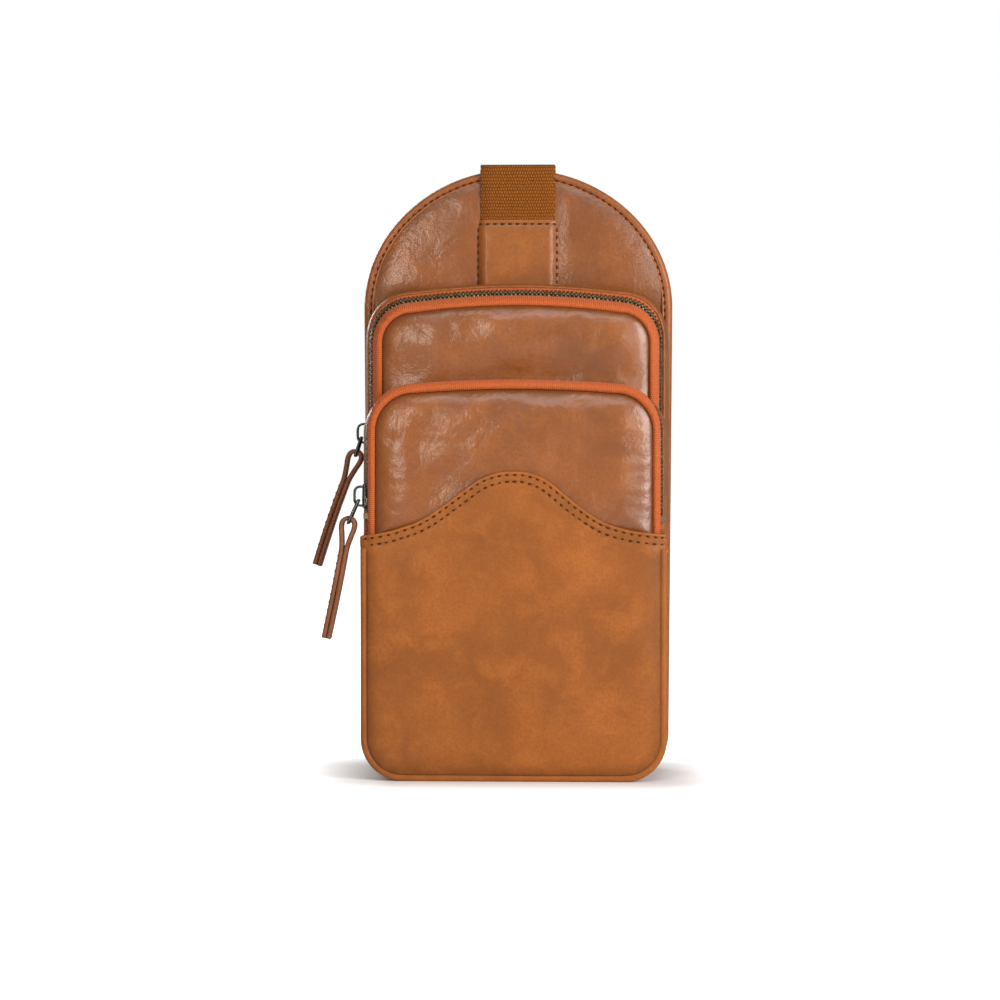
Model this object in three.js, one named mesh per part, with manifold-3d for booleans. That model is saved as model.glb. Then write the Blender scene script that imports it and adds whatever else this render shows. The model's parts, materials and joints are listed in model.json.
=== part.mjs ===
// Leather sling bag: an arch-topped padded back panel, a zipped main compartment, a zipped front
// pocket and a webbing shoulder strap. Millimetres, +Z up, the front faces -Y, and the origin is
// under the middle of the base.
import * as THREE from "three";
import Module from "manifold-3d";
import { mergeVertices } from "three/addons/utils/BufferGeometryUtils.js";

const wasm = await Module();
wasm.setup();

// ---- driving dimensions -------------------------------------------------------------------------
const GAP = 0.3; // between neighbours that touch on the real bag
const LEATHER = 1.6; // one skin of leather
const LINING = 0.6; // lining cloth
const ARC_STEPS = 4; // points along a quarter of a rounded corner, twice this on an arc

// Depth: where each layer lies along Y.
const BACK_FACE_Y = 35; // rear skin of the back panel, the side worn against the body
const FOAM = 4.2;
const MAIN_DEPTH = 31.6; // inside the main compartment, from the back panel to the divider
const POCKET_DEPTH = 22.3; // inside the front pocket, from the divider to the front skin

const FOAM_BACK_Y = BACK_FACE_Y - LEATHER - GAP;
const BACK_FRONT_SKIN_Y = FOAM_BACK_Y - FOAM - GAP; // rear side of the skin that faces forward
const MAIN_BACK_Y = BACK_FRONT_SKIN_Y - LEATHER; // where the main compartment starts
const DIVIDER_Y = MAIN_BACK_Y - MAIN_DEPTH; // rear side of the divider
const POCKET_BACK_Y = DIVIDER_Y - LEATHER;
const FRONT_SKIN_Y = POCKET_BACK_Y - POCKET_DEPTH; // rear side of the smooth front skin
const OVERLAY_Y = FRONT_SKIN_Y - LEATHER - GAP; // rear side of the lower skin, which laps over it
const FRONT_Y = OVERLAY_Y - LEATHER;

// Front view of the two compartments: the box, and the edge of each front panel above it.
const BOX = { halfWidth: 77.2, corner: 21 };
const MAIN = { halfWidth: BOX.halfWidth - 10.2, top: 235.8, corner: 15, crown: 3.5 };
const POCKET = { halfWidth: BOX.halfWidth - 8.5, top: 194, corner: 19, crown: 2 };
const POCKET_BOX_INSET = 1.4; // the front pocket is this much narrower on each side than the main box

// Front view of the back panel: straight sides, round lower corners and an elliptical arch.
const ARCH_RISE = 69.1;
const BACK = {
  halfWidth: BOX.halfWidth - 0.1,
  footHalfWidth: BOX.halfWidth - 1.6,
  bottom: 2.5,
  corner: BOX.corner,
  spring: MAIN.top + 0.2,
  top: MAIN.top + 0.2 + ARCH_RISE,
};
const BINDING_LAP = 4.5; // how far the edge binding laps onto each face
const BINDING_SKIN = 1; // its thickness on the faces

// The folds that open the compartments.
const FOLD_Z = 113; // top of everything that stays still at the front
const FOLD_ROOM = 12; // height of the leather that crumples as the main compartment opens
const FOLD_TOP = FOLD_Z + FOLD_ROOM;
const WAVE = { base: FOLD_TOP - 3.4, peak: FOLD_TOP + 28.5, halfSpan: BOX.halfWidth - 16.2, steps: 12 };

// Zips: a chain is two rows of teeth with a slot between them for the slider's post.
const TEETH = { row: 2.1, slot: 1.4, height: 2.4 };
const TAPE = 0.8;
const MAIN_ZIP = {
  surface: 7,
  slotY: DIVIDER_Y + 3.7,
  leftEnd: FOLD_Z + 51,
  rightEnd: FOLD_Z + 27,
  sliderZ: FOLD_Z + 59,
};
const POCKET_ZIP = {
  surface: 4.8,
  slotY: FRONT_SKIN_Y + 3.9,
  leftEnd: FOLD_TOP + 8,
  rightEnd: FOLD_TOP + 6.5,
  sliderZ: FOLD_TOP + 16,
};
const REAR_TAPE_WIDTH = 6.5;
const GUSSET_LAP = 4; // how far the gusset's leather laps over the rear tape
const STOP_HEIGHT = 3;

// Slider, link and leather pull.
const SLIDER = {
  length: 12,
  rearWidth: 4.3,
  frontWidth: 3.6,
  innerFrontWidth: 2.8,
  plate: 1.2,
  post: 0.8,
  lip: 0.9,
};
const BAIL = { height: 3.4, length: 9.5, width: 2.6, wall: 1.2 };
const LINK = { width: 10.4, wire: 0.75 };
const PULL = { width: 8.2, layer: 2.3, loop: 4.4, neck: 13, length: 62 };
const MAIN_LINK = { length: 9.5, tilt: 18, pullTilt: 19.5 };
const POCKET_LINK = { length: 12, tilt: 24, pullTilt: 11 };

// Shoulder strap and its fittings.
const PATCH = { bottom: MAIN.top + 11.2, height: 34, sideMargin: 3.5, corner: 3.6, skin: 1.6 };
const WEBBING = { width: 38, thickness: 1.8, foot: PATCH.bottom + 4 };
const ADJUSTER = { z: BACK.top - 69.1, height: 28, bar: 1.2, sideBar: 2.4, clearance: 0.8 };
const RING = {
  bar: 1.6,
  innerY: BACK_FACE_Y + 9.6,
  innerZ: 8.6,
  outerY: BACK_FACE_Y + 23,
  outerZ: 4.3,
};
const RING_TAB = { top: 31, width: WEBBING.width - 1 };
const STRAP_PLY = 1.05; // each ply's centre from the middle of the doubled strap
const STRAP_REACH = BACK_FACE_Y + 105; // where the spare strap turns back, behind the bag

// ---- materials ----------------------------------------------------------------------------------
const finish = (color, roughness, metalness = 0) =>
  new THREE.MeshStandardMaterial({ color, roughness, metalness });
const smoothLeather = finish(0xa9683f, 0.38);
const waxedLeather = finish(0xad6c33, 0.6);
const zipCloth = finish(0xc25f36, 0.9);
const brassTeeth = finish(0x6d5a3c, 0.4, 0.9);
const gunmetal = finish(0x4a4c48, 0.3, 1);
const webbingCloth = finish(0x7a4a1a, 0.85);
const liningCloth = finish(0x4b3826, 0.9);
const foam = finish(0x55524c, 0.95);
const board = finish(0x6f6250, 0.9);

// ---- geometry helpers ---------------------------------------------------------------------------
const bag = new THREE.Group();

function piece(name, geometry, material) {
  const mesh = new THREE.Mesh(geometry, material);
  mesh.name = name;
  bag.add(mesh);
  return mesh;
}

// A front-view shape, drawn as (x, z), given thickness from yBack forward to yFront.
function slab(shape, yBack, yFront) {
  const geometry = new THREE.ExtrudeGeometry(shape, {
    depth: yBack - yFront,
    bevelEnabled: false,
    curveSegments: 2 * ARC_STEPS,
  });
  return geometry.rotateX(Math.PI / 2).translate(0, yBack, 0);
}

// A side-view shape, drawn as (y, z), given a width along X about x = middle.
function sideProfile(shape, width, middle = 0) {
  const settings = { depth: width, bevelEnabled: false, curveSegments: 8 };
  const geometry = new THREE.ExtrudeGeometry(shape, settings);
  const toSide = new THREE.Matrix4().set(0, 0, 1, 0, 1, 0, 0, 0, 0, 1, 0, 0, 0, 0, 0, 1);
  return geometry.applyMatrix4(toSide).translate(middle - width / 2, 0, 0);
}

// A box between two corners.
function block(x0, x1, y0, y1, z0, z1) {
  const box = new THREE.BoxGeometry(x1 - x0, y1 - y0, z1 - z0);
  return box.translate((x0 + x1) / 2, (y0 + y1) / 2, (z0 + z1) / 2);
}

// The corners of a path, without the doubled points where a line meets an arc.
const cornersOf = (path, steps) =>
  path.getPoints(steps).filter((p, i, all) => i === 0 || p.distanceTo(all[i - 1]) > 1e-6);

// A closed band along a family of parallel front-view paths. Each corner of its section is (offset, y).
function band(pathAt, section) {
  const row = ([offset, y]) => cornersOf(pathAt(offset), ARC_STEPS).map((p) => [p.x, y, p.y]);
  const rows = section.map(row);
  const sides = rows.length;
  const steps = rows[0].length;
  const index = [];
  const at = (side, step) => (side % sides) * steps + step;
  for (let side = 0; side < sides; side++)
    for (let step = 0; step < steps - 1; step++) {
      index.push(at(side, step), at(side + 1, step + 1), at(side + 1, step));
      index.push(at(side, step), at(side, step + 1), at(side + 1, step + 1));
    }
  for (let side = 1; side < sides - 1; side++) {
    index.push(at(0, 0), at(side, 0), at(side + 1, 0));
    index.push(at(0, steps - 1), at(side + 1, steps - 1), at(side, steps - 1));
  }
  return new THREE.BufferGeometry()
    .setAttribute("position", new THREE.Float32BufferAttribute(rows.flat(2), 3))
    .setIndex(index);
}

// The corners of a rectangular section, in the order that band() needs.
const rectangle = (inner, outer, yBack, yFront) => [
  [inner, yBack],
  [inner, yFront],
  [outer, yFront],
  [outer, yBack],
];

function toSolid(geometry) {
  const bare = geometry.clone();
  bare.deleteAttribute("normal");
  bare.deleteAttribute("uv");
  const merged = mergeVertices(bare, 1e-4);
  return new wasm.Manifold(
    new wasm.Mesh({
      numProp: 3,
      vertProperties: new Float32Array(merged.attributes.position.array),
      triVerts: new Uint32Array(merged.index.array),
    }),
  );
}

function toGeometry(solid) {
  const { vertProperties, triVerts } = solid.getMesh();
  return new THREE.BufferGeometry()
    .setAttribute("position", new THREE.BufferAttribute(vertProperties, 3))
    .setIndex(new THREE.BufferAttribute(triVerts, 1));
}

const join = (...geometries) => toGeometry(geometries.map(toSolid).reduce((a, b) => a.add(b)));
const cut = (geometry, ...tools) =>
  toGeometry(tools.map(toSolid).reduce((a, b) => a.subtract(b), toSolid(geometry)));

// ---- outlines -----------------------------------------------------------------------------------
// The back panel's outline, grown outwards.
function archOutline(grow) {
  const { halfWidth, footHalfWidth, bottom, corner, spring, top } = BACK;
  const foot = footHalfWidth + grow;
  const side = halfWidth + grow;
  const radius = corner + grow;
  const low = bottom - grow;
  const shape = new THREE.Shape();
  shape.moveTo(radius - foot, low);
  shape.lineTo(foot - radius, low);
  shape.absarc(foot - radius, low + radius, radius, -Math.PI / 2, 0);
  shape.lineTo(side, spring);
  shape.absellipse(0, spring, side, top + grow - spring, 0, Math.PI);
  shape.lineTo(-foot, low + radius);
  shape.absarc(radius - foot, low + radius, radius, Math.PI, 1.5 * Math.PI);
  return shape;
}

// Up one side, over a slightly crowned top and down the other, at an offset from a panel's edge.
function hoop({ halfWidth, top, corner, crown }, leftFoot, rightFoot, offset) {
  const side = halfWidth + offset;
  const radius = corner + offset;
  const shoulder = top - crown + offset;
  const path = new THREE.Path();
  path.moveTo(-side, leftFoot);
  path.lineTo(-side, shoulder - radius);
  path.absarc(radius - side, shoulder - radius, radius, Math.PI, Math.PI / 2, true);
  path.quadraticCurveTo(0, shoulder + 2 * crown, side - radius, shoulder);
  path.absarc(side - radius, shoulder - radius, radius, Math.PI / 2, 0, true);
  path.lineTo(side, rightFoot);
  return path;
}

// Down one side, under the box and up the other. The offset is negative towards the inside.
function trough(halfWidth, corner, rim, offset) {
  const side = halfWidth + offset;
  const radius = corner + offset;
  const path = new THREE.Path();
  path.moveTo(side, rim);
  path.lineTo(side, radius - offset);
  path.absarc(side - radius, radius - offset, radius, 0, -Math.PI / 2, true);
  path.lineTo(radius - side, -offset);
  path.absarc(radius - side, radius - offset, radius, -Math.PI / 2, -Math.PI, true);
  path.lineTo(-side, rim);
  return path;
}

const filled = (path) => new THREE.Shape(cornersOf(path, ARC_STEPS));
const mainHoop = (left, right) => (offset) => hoop(MAIN, left, right, offset);
const pocketHoop = (left, right) => (offset) => hoop(POCKET, left, right, offset);
const mainBox = (rim) => (offset) => trough(BOX.halfWidth, BOX.corner, rim, offset);
const pocketHalfWidth = BOX.halfWidth - POCKET_BOX_INSET;
const pocketBox = (rim) => (offset) => trough(pocketHalfWidth, BOX.corner, rim, offset);

// ---- back panel ---------------------------------------------------------------------------------
piece("back_panel_rear_skin", slab(archOutline(0), BACK_FACE_Y, BACK_FACE_Y - LEATHER), waxedLeather);
piece("back_panel_foam", slab(archOutline(-2), FOAM_BACK_Y, FOAM_BACK_Y - FOAM), foam);
piece("back_panel_front_skin", slab(archOutline(0), BACK_FRONT_SKIN_Y, MAIN_BACK_Y), smoothLeather);

// The binding wraps the edge of the back panel. Its front lap stops where the gusset is sewn on.
const bindingRing = (outer, inner, yBack, yFront) => {
  const shape = archOutline(outer);
  shape.holes.push(new THREE.Path(cornersOf(archOutline(inner), 2 * ARC_STEPS)));
  return slab(shape, yBack, yFront);
};
const bindingBack = BACK_FACE_Y + GAP + BINDING_SKIN;
const bindingFront = MAIN_BACK_Y - GAP - BINDING_SKIN;
const bindingRim = bindingRing(GAP + LEATHER, GAP, bindingBack, bindingFront);
const bindingRearLap = bindingRing(GAP + LEATHER, -BINDING_LAP, bindingBack, BACK_FACE_Y + GAP);
const bindingFrontLap = bindingRing(GAP + LEATHER, -BINDING_LAP, MAIN_BACK_Y - GAP, bindingFront);
const gussetFootprint = slab(
  filled(hoop(MAIN, -5, -5, BOX.halfWidth - MAIN.halfWidth + 4 * GAP)),
  MAIN_BACK_Y - GAP / 2,
  bindingFront - 1,
);
const bindingStrip = join(bindingRim, bindingRearLap, bindingFrontLap);
piece("back_edge_binding", cut(bindingStrip, gussetFootprint), waxedLeather);

// ---- main compartment ---------------------------------------------------------------------------
const gussetBack = MAIN_BACK_Y - GAP;
const boxRim = FOLD_Z - GAP;
const mainGussetOffset = BOX.halfWidth - MAIN.halfWidth;
const mainRearRowY = MAIN_ZIP.slotY + TEETH.slot / 2;
const mainTapeBack = mainRearRowY + TEETH.row + GAP + REAR_TAPE_WIDTH;
const mainGussetFront = mainTapeBack - GUSSET_LAP;

piece(
  "main_gusset_lower",
  band(mainBox(boxRim), rectangle(-LEATHER, 0, gussetBack, DIVIDER_Y + GAP)),
  waxedLeather,
);
piece(
  "main_gusset_upper",
  band(
    mainHoop(FOLD_Z, FOLD_Z),
    rectangle(mainGussetOffset - LEATHER, mainGussetOffset, gussetBack, mainGussetFront),
  ),
  waxedLeather,
);

const insideBack = filled(mainHoop(28, 28)(mainGussetOffset - LEATHER - 2 * GAP));
piece("main_back_lining", slab(insideBack, gussetBack - GAP, gussetBack - GAP - LINING), liningCloth);
const SLIP_POCKET = { halfWidth: BOX.halfWidth - 15.2, bottom: 30, top: 128, corner: 8, cloth: 0.8 };
function slipPocketShape({ halfWidth, bottom, top, corner }) {
  const shape = new THREE.Shape();
  shape.moveTo(-halfWidth, top);
  shape.lineTo(-halfWidth, bottom + corner);
  shape.absarc(corner - halfWidth, bottom + corner, corner, Math.PI, 1.5 * Math.PI);
  shape.lineTo(halfWidth - corner, bottom);
  shape.absarc(halfWidth - corner, bottom + corner, corner, -Math.PI / 2, 0);
  shape.lineTo(halfWidth, top);
  return shape;
}
const slipPocketBack = gussetBack - 2 * GAP - LINING;
piece(
  "inner_slip_pocket",
  slab(slipPocketShape(SLIP_POCKET), slipPocketBack, slipPocketBack - SLIP_POCKET.cloth),
  liningCloth,
);
const BASE_BOARD = { halfLength: BOX.halfWidth - 25.2, thickness: 1.4 };
const boardBottom = LEATHER + GAP;
piece(
  "base_board",
  block(
    -BASE_BOARD.halfLength,
    BASE_BOARD.halfLength,
    DIVIDER_Y + 2 * GAP,
    slipPocketBack - SLIP_POCKET.cloth - GAP,
    boardBottom,
    boardBottom + BASE_BOARD.thickness,
  ),
  board,
);

// The divider is sewn between the two gussets, so its edge shows as a welt at the sides.
piece(
  "divider_lower",
  slab(filled(pocketBox(boxRim)(0)), DIVIDER_Y, POCKET_BACK_Y),
  waxedLeather,
);

// ---- main flap: the upper front of the main compartment, which folds forward --------------------
const flapFoot = FOLD_Z + 2 * GAP;
piece(
  "main_panel_upper",
  slab(filled(mainHoop(flapFoot, flapFoot)(0)), DIVIDER_Y, POCKET_BACK_Y),
  smoothLeather,
);
piece(
  "main_flap_lining",
  slab(filled(mainHoop(flapFoot, flapFoot)(-2)), DIVIDER_Y + GAP + LINING, DIVIDER_Y + GAP),
  liningCloth,
);

// ---- zips ---------------------------------------------------------------------------------------
// Everything of a zip except its slider. The front tape curves from the panel's edge round to the
// chain, and the rear tape runs back from the chain under the gusset.
function zip(name, hoopBetween, panelY, { surface, slotY, leftEnd, rightEnd }, foot) {
  const rearRow = slotY + TEETH.slot / 2;
  const frontRow = slotY - TEETH.slot / 2;
  const low = surface - TEETH.height / 2;
  const high = surface + TEETH.height / 2;
  const tapeEdge = frontRow - TEETH.row - GAP;
  const laid = hoopBetween(foot, foot);
  const toothed = hoopBetween(leftEnd, rightEnd);
  piece(
    `${name}_zip_tape_front`,
    band(laid, [
      [GAP, panelY],
      [GAP, panelY - TAPE],
      [surface - 0.4, tapeEdge - TAPE],
      [surface - 0.4, tapeEdge],
    ]),
    zipCloth,
  );
  // Below the chain the two tapes lie together, so the rear one carries on forward as a tail.
  const rearEdge = rearRow + TEETH.row + GAP;
  const tapeX = (side) => side * laid(surface).getPoint(1).x;
  const tail = (side, chainEnd) =>
    block(
      tapeX(side) - TAPE / 2,
      tapeX(side) + TAPE / 2,
      frontRow - TEETH.row,
      rearEdge + 1,
      foot,
      chainEnd - STOP_HEIGHT - 2 * GAP,
    );
  const rearBand = band(
    laid,
    rectangle(surface - TAPE / 2, surface + TAPE / 2, rearEdge + REAR_TAPE_WIDTH, rearEdge),
  );
  piece(`${name}_zip_tape_rear`, join(rearBand, tail(-1, leftEnd), tail(1, rightEnd)), zipCloth);
  const row = (yBack, yFront) => band(toothed, rectangle(low, high, yBack, yFront));
  piece(`${name}_zip_teeth_front`, row(frontRow, frontRow - TEETH.row), brassTeeth);
  piece(`${name}_zip_teeth_rear`, row(rearRow + TEETH.row, rearRow), brassTeeth);

  const chainX = (offset) => hoopBetween(leftEnd, rightEnd)(offset).getPoint(1).x;
  const stopTop = leftEnd - GAP;
  const stop = (y0, y1) => block(-chainX(high), -chainX(low), y0, y1, stopTop - STOP_HEIGHT, stopTop);
  piece(`${name}_zip_top_stop_front`, stop(frontRow - TEETH.row, frontRow), gunmetal);
  piece(`${name}_zip_top_stop_rear`, stop(rearRow, rearRow + TEETH.row), gunmetal);
  const closed = rightEnd - GAP;
  piece(
    `${name}_zip_bottom_stop`,
    block(
      chainX(low),
      chainX(high),
      frontRow - TEETH.row,
      rearRow + TEETH.row,
      closed - STOP_HEIGHT,
      closed,
    ),
    gunmetal,
  );
}
zip("main", mainHoop, DIVIDER_Y - GAP, MAIN_ZIP, flapFoot);
zip("pocket", pocketHoop, FRONT_SKIN_Y - GAP, POCKET_ZIP, FOLD_TOP + GAP);

// ---- front pocket -------------------------------------------------------------------------------
const pocketGussetOffset = pocketHalfWidth - POCKET.halfWidth;
const pocketRearRowY = POCKET_ZIP.slotY + TEETH.slot / 2;
const pocketTapeBack = pocketRearRowY + TEETH.row + GAP + REAR_TAPE_WIDTH;
const PIPING = { radius: 2, sides: 8 };
const pipingY = FRONT_Y + PIPING.radius - 2 * GAP;

piece(
  "front_gusset_lower",
  band(
    pocketBox(boxRim),
    rectangle(-LEATHER, 0, POCKET_BACK_Y - GAP, pipingY + PIPING.radius + GAP),
  ),
  waxedLeather,
);
piece(
  "front_gusset_upper",
  band(
    pocketHoop(FOLD_TOP + GAP, FOLD_TOP + GAP),
    rectangle(
      pocketGussetOffset - LEATHER,
      pocketGussetOffset,
      POCKET_BACK_Y - GAP,
      pocketTapeBack - GUSSET_LAP,
    ),
  ),
  waxedLeather,
);

// Piping: a leather bead round the lower front edge.
const bead = Array.from({ length: PIPING.sides }, (_, i) => {
  const turn = (2 * Math.PI * (i + 0.5)) / PIPING.sides;
  return [PIPING.radius * (Math.cos(turn) - 1), pipingY + PIPING.radius * Math.sin(turn)];
});
piece("front_piping", band(pocketBox(boxRim), bead), waxedLeather);
const lowerSkinEdge = -2 * PIPING.radius - GAP;
piece(
  "front_panel_lower",
  slab(filled(pocketBox(boxRim)(lowerSkinEdge)), OVERLAY_Y, FRONT_Y),
  waxedLeather,
);

// The crumpling leather between the box and the folding parts, round the front and both sides.
function foldPlan(offset) {
  const side = pocketHalfWidth + offset;
  const radius = 3 + offset;
  const front = FRONT_Y - offset;
  const path = new THREE.Path();
  path.moveTo(-side, POCKET_BACK_Y - GAP);
  path.lineTo(-side, front + radius);
  path.absarc(radius - side, front + radius, radius, Math.PI, 1.5 * Math.PI);
  path.lineTo(side - radius, front);
  path.absarc(side - radius, front + radius, radius, -Math.PI / 2, 0);
  path.lineTo(side, POCKET_BACK_Y - GAP);
  return path.getPoints(ARC_STEPS);
}
const foldShape = new THREE.Shape([...foldPlan(0), ...foldPlan(-LEATHER).reverse()]);
piece(
  "front_fold_leather",
  new THREE.ExtrudeGeometry(foldShape, { depth: FOLD_ROOM - 2 * GAP, bevelEnabled: false }).translate(
    0,
    0,
    FOLD_Z + GAP,
  ),
  waxedLeather,
);

// The pocket's flap: the smooth skin, the crest of the lower skin that is sewn over it, and its lining.
const pocketFlapFoot = FOLD_TOP + GAP;
piece(
  "front_panel_upper",
  slab(filled(pocketHoop(pocketFlapFoot, pocketFlapFoot)(0)), FRONT_SKIN_Y, FRONT_SKIN_Y - LEATHER),
  smoothLeather,
);
piece(
  "front_flap_lining",
  slab(
    filled(pocketHoop(pocketFlapFoot, pocketFlapFoot)(-2)),
    FRONT_SKIN_Y + GAP + LINING,
    FRONT_SKIN_Y + GAP,
  ),
  liningCloth,
);
function crestShape() {
  const rise = WAVE.peak - WAVE.base;
  const waveHeight = (x) => WAVE.base + (rise * (1 + Math.cos((Math.PI * x) / WAVE.halfSpan))) / 2;
  const footShare = (2 * (pocketFlapFoot - WAVE.base)) / rise - 1;
  const reach = (WAVE.halfSpan * Math.acos(footShare)) / Math.PI;
  const points = [];
  for (let i = 0; i <= WAVE.steps; i++) {
    const x = reach * ((2 * i) / WAVE.steps - 1);
    points.push(new THREE.Vector2(x, Math.max(waveHeight(x), pocketFlapFoot)));
  }
  return new THREE.Shape(points);
}
piece("front_panel_crest", slab(crestShape(), OVERLAY_Y, FRONT_Y), waxedLeather);

// ---- sliders and pulls --------------------------------------------------------------------------
// A slider on the left side of a zip, open towards the front so that the front row of teeth can
// leave it. Its link hangs from the bail, and the leather pull hangs from the link.
function sliderAndPull(name, halfWidth, { surface, slotY, sliderZ }, link) {
  const chainX = -(halfWidth + surface);
  const channel = TEETH.height / 2 + GAP;
  const outerFace = chainX - channel - SLIDER.plate;
  const z0 = sliderZ - SLIDER.length / 2;
  const z1 = sliderZ + SLIDER.length / 2;
  const rearY = slotY + SLIDER.rearWidth;

  const plateShape = (frontWidth) => {
    const frontY = slotY - frontWidth;
    const shoulder = z0 + SLIDER.length * 0.45;
    const nose = 1.2;
    const shape = new THREE.Shape();
    shape.moveTo(frontY, z0 + nose);
    shape.lineTo(frontY + nose, z0);
    shape.lineTo(rearY - nose, z0);
    shape.lineTo(rearY, z0 + nose);
    shape.lineTo(rearY, shoulder);
    shape.lineTo(rearY - nose, z1);
    shape.lineTo(frontY + nose, z1);
    shape.lineTo(frontY, shoulder);
    return shape;
  };
  const plate = (frontWidth, x) => sideProfile(plateShape(frontWidth), SLIDER.plate, x);
  const outerPlate = plate(SLIDER.frontWidth, outerFace + SLIDER.plate / 2);
  const innerPlate = plate(SLIDER.innerFrontWidth, chainX + channel + SLIDER.plate / 2);
  const post = block(
    chainX - channel - SLIDER.plate / 2,
    chainX + channel + SLIDER.plate / 2,
    slotY - SLIDER.post / 2,
    slotY + SLIDER.post / 2,
    z0 + 1,
    z0 + 5,
  );
  const lipInner = TAPE / 2 + GAP;
  const lips = [-1, 1].map((way) =>
    block(
      chainX + Math.min(way * lipInner, way * (channel + SLIDER.plate / 2)),
      chainX + Math.max(way * lipInner, way * (channel + SLIDER.plate / 2)),
      rearY - SLIDER.lip,
      rearY - 0.05,
      z0 + 1.5,
      z0 + SLIDER.length * 0.45,
    ),
  );
  const bailZ = sliderZ + 0.2;
  const bailShape = (grow) => {
    const half = BAIL.length / 2 + grow;
    const reach = BAIL.height + grow;
    const round = 2.6 + grow;
    const shape = new THREE.Shape();
    shape.moveTo(0.4, -half);
    shape.lineTo(round - reach, -half);
    shape.absarc(round - reach, round - half, round, 1.5 * Math.PI, Math.PI, true);
    shape.lineTo(-reach, half - round);
    shape.absarc(round - reach, half - round, round, Math.PI, Math.PI / 2, true);
    shape.lineTo(0.4, half);
    return shape;
  };
  const bailBar = (grow, width) =>
    slab(bailShape(grow), slotY + width / 2, slotY - width / 2).translate(outerFace, 0, bailZ);
  const bail = cut(bailBar(0, BAIL.width), bailBar(-BAIL.wall, BAIL.width + 2));
  piece(`${name}_slider`, join(outerPlate, innerPlate, post, ...lips, bail), gunmetal);

  // The link hangs from the lower inside corner of the bail, tilted outwards.
  const eyeX = outerFace - BAIL.height + BAIL.wall + LINK.wire + 0.35;
  const eyeZ = bailZ - BAIL.length / 2 + BAIL.wall + LINK.wire + 0.35;
  const tilt = THREE.MathUtils.degToRad(link.tilt);
  const barX = eyeX - link.length * Math.sin(tilt);
  const barZ = eyeZ - link.length * Math.cos(tilt);
  const frame = (grow) => {
    const side = LINK.width / 2 + grow;
    const round = 1.6 + grow;
    const shape = new THREE.Shape();
    shape.moveTo(round - side, grow);
    shape.absarc(round - side, grow - round, round, Math.PI / 2, Math.PI);
    shape.absarc(round - side, round - grow - link.length, round, Math.PI, 1.5 * Math.PI);
    shape.absarc(side - round, round - grow - link.length, round, -Math.PI / 2, 0);
    shape.absarc(side - round, grow - round, round, 0, Math.PI / 2);
    return new THREE.Shape(cornersOf(shape, 3));
  };
  const flat = LINK.wire * 0.4; // half the width of each flat of the wire's eight-sided section
  const wireShape = frame(flat);
  wireShape.holes.push(new THREE.Path(frame(-flat).getPoints()));
  const wire = new THREE.ExtrudeGeometry(wireShape, {
    depth: 2 * flat,
    bevelSize: LINK.wire - flat,
    bevelThickness: LINK.wire - flat,
    bevelSegments: 1,
  });
  wire.translate(0, 0, -flat).rotateX(Math.PI / 2).rotateZ(Math.PI / 2);
  piece(`${name}_pull_link`, wire.rotateY(tilt).translate(eyeX, slotY, eyeZ), gunmetal);

  // The pull is one strip folded round the link's lower bar, its two plies glued below the loop.
  const outer = PULL.loop;
  const waist = PULL.layer + 0.1;
  const skin = new THREE.Shape();
  skin.moveTo(-waist, 0 - PULL.length + outer);
  skin.lineTo(waist, 0 - PULL.length + outer);
  skin.lineTo(waist, -PULL.neck);
  skin.bezierCurveTo(waist, -PULL.neck * 0.6, outer, -PULL.neck * 0.5, outer, 0);
  skin.absarc(0, 0, outer, 0, Math.PI);
  skin.bezierCurveTo(-outer, -PULL.neck * 0.5, -waist, -PULL.neck * 0.6, -waist, -PULL.neck);
  const eye = new THREE.Path();
  const eyeRadius = outer - PULL.layer;
  eye.moveTo(0, -PULL.neck * 0.72);
  eye.bezierCurveTo(0.4, -PULL.neck * 0.55, eyeRadius, -PULL.neck * 0.4, eyeRadius, 0);
  eye.absarc(0, 0, eyeRadius, 0, Math.PI);
  eye.bezierCurveTo(-eyeRadius, -PULL.neck * 0.4, -0.4, -PULL.neck * 0.55, 0, -PULL.neck * 0.72);
  skin.holes.push(eye);
  const strip = slab(skin, PULL.width / 2, -PULL.width / 2);
  const hang = eyeRadius - LINK.wire - 0.35; // the fold's inside rests on the bar
  const pullTilt = THREE.MathUtils.degToRad(link.pullTilt);
  piece(
    `${name}_pull_tab`,
    strip.translate(0, 0, -hang).rotateY(pullTilt).translate(barX, slotY, barZ),
    waxedLeather,
  );
  return { eyeX, eyeZ, barX, barZ, slotY };
}
const mainPull = sliderAndPull("main", MAIN.halfWidth, MAIN_ZIP, MAIN_LINK);
const pocketPull = sliderAndPull("pocket", POCKET.halfWidth, POCKET_ZIP, POCKET_LINK);
bag.userData.pivots = { mainPull, pocketPull }; // where the links and pulls turn, for the record's joints

// ---- shoulder strap -----------------------------------------------------------------------------
// Side view, as (y, z). A ribbon follows a centreline with half its thickness on each side.
function sideNormals(points) {
  return points.map((p, i) => {
    const a = points[Math.max(i - 1, 0)];
    const b = points[Math.min(i + 1, points.length - 1)];
    const along = b.clone().sub(a).normalize();
    return new THREE.Vector2(-along.y, along.x);
  });
}
function offsetLine(points, distance) {
  const normals = sideNormals(points);
  return points.map((p, i) => p.clone().addScaledVector(normals[i], distance));
}
function ribbon(points, thickness) {
  const side = offsetLine(points, thickness / 2);
  return new THREE.Shape([...side, ...offsetLine(points, -thickness / 2).reverse()]);
}

const half = WEBBING.thickness / 2;
const strapFrontY = bindingFront - GAP - half;
const strapTopZ = BACK.top + GAP + LEATHER + GAP + half;
const strapRearY = bindingBack + GAP + half;
const foldRadius = half + GAP;
const plyInY = strapRearY + 0.2; // the ply nearest the bag, down the back
const middleY = plyInY + STRAP_PLY;

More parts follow.
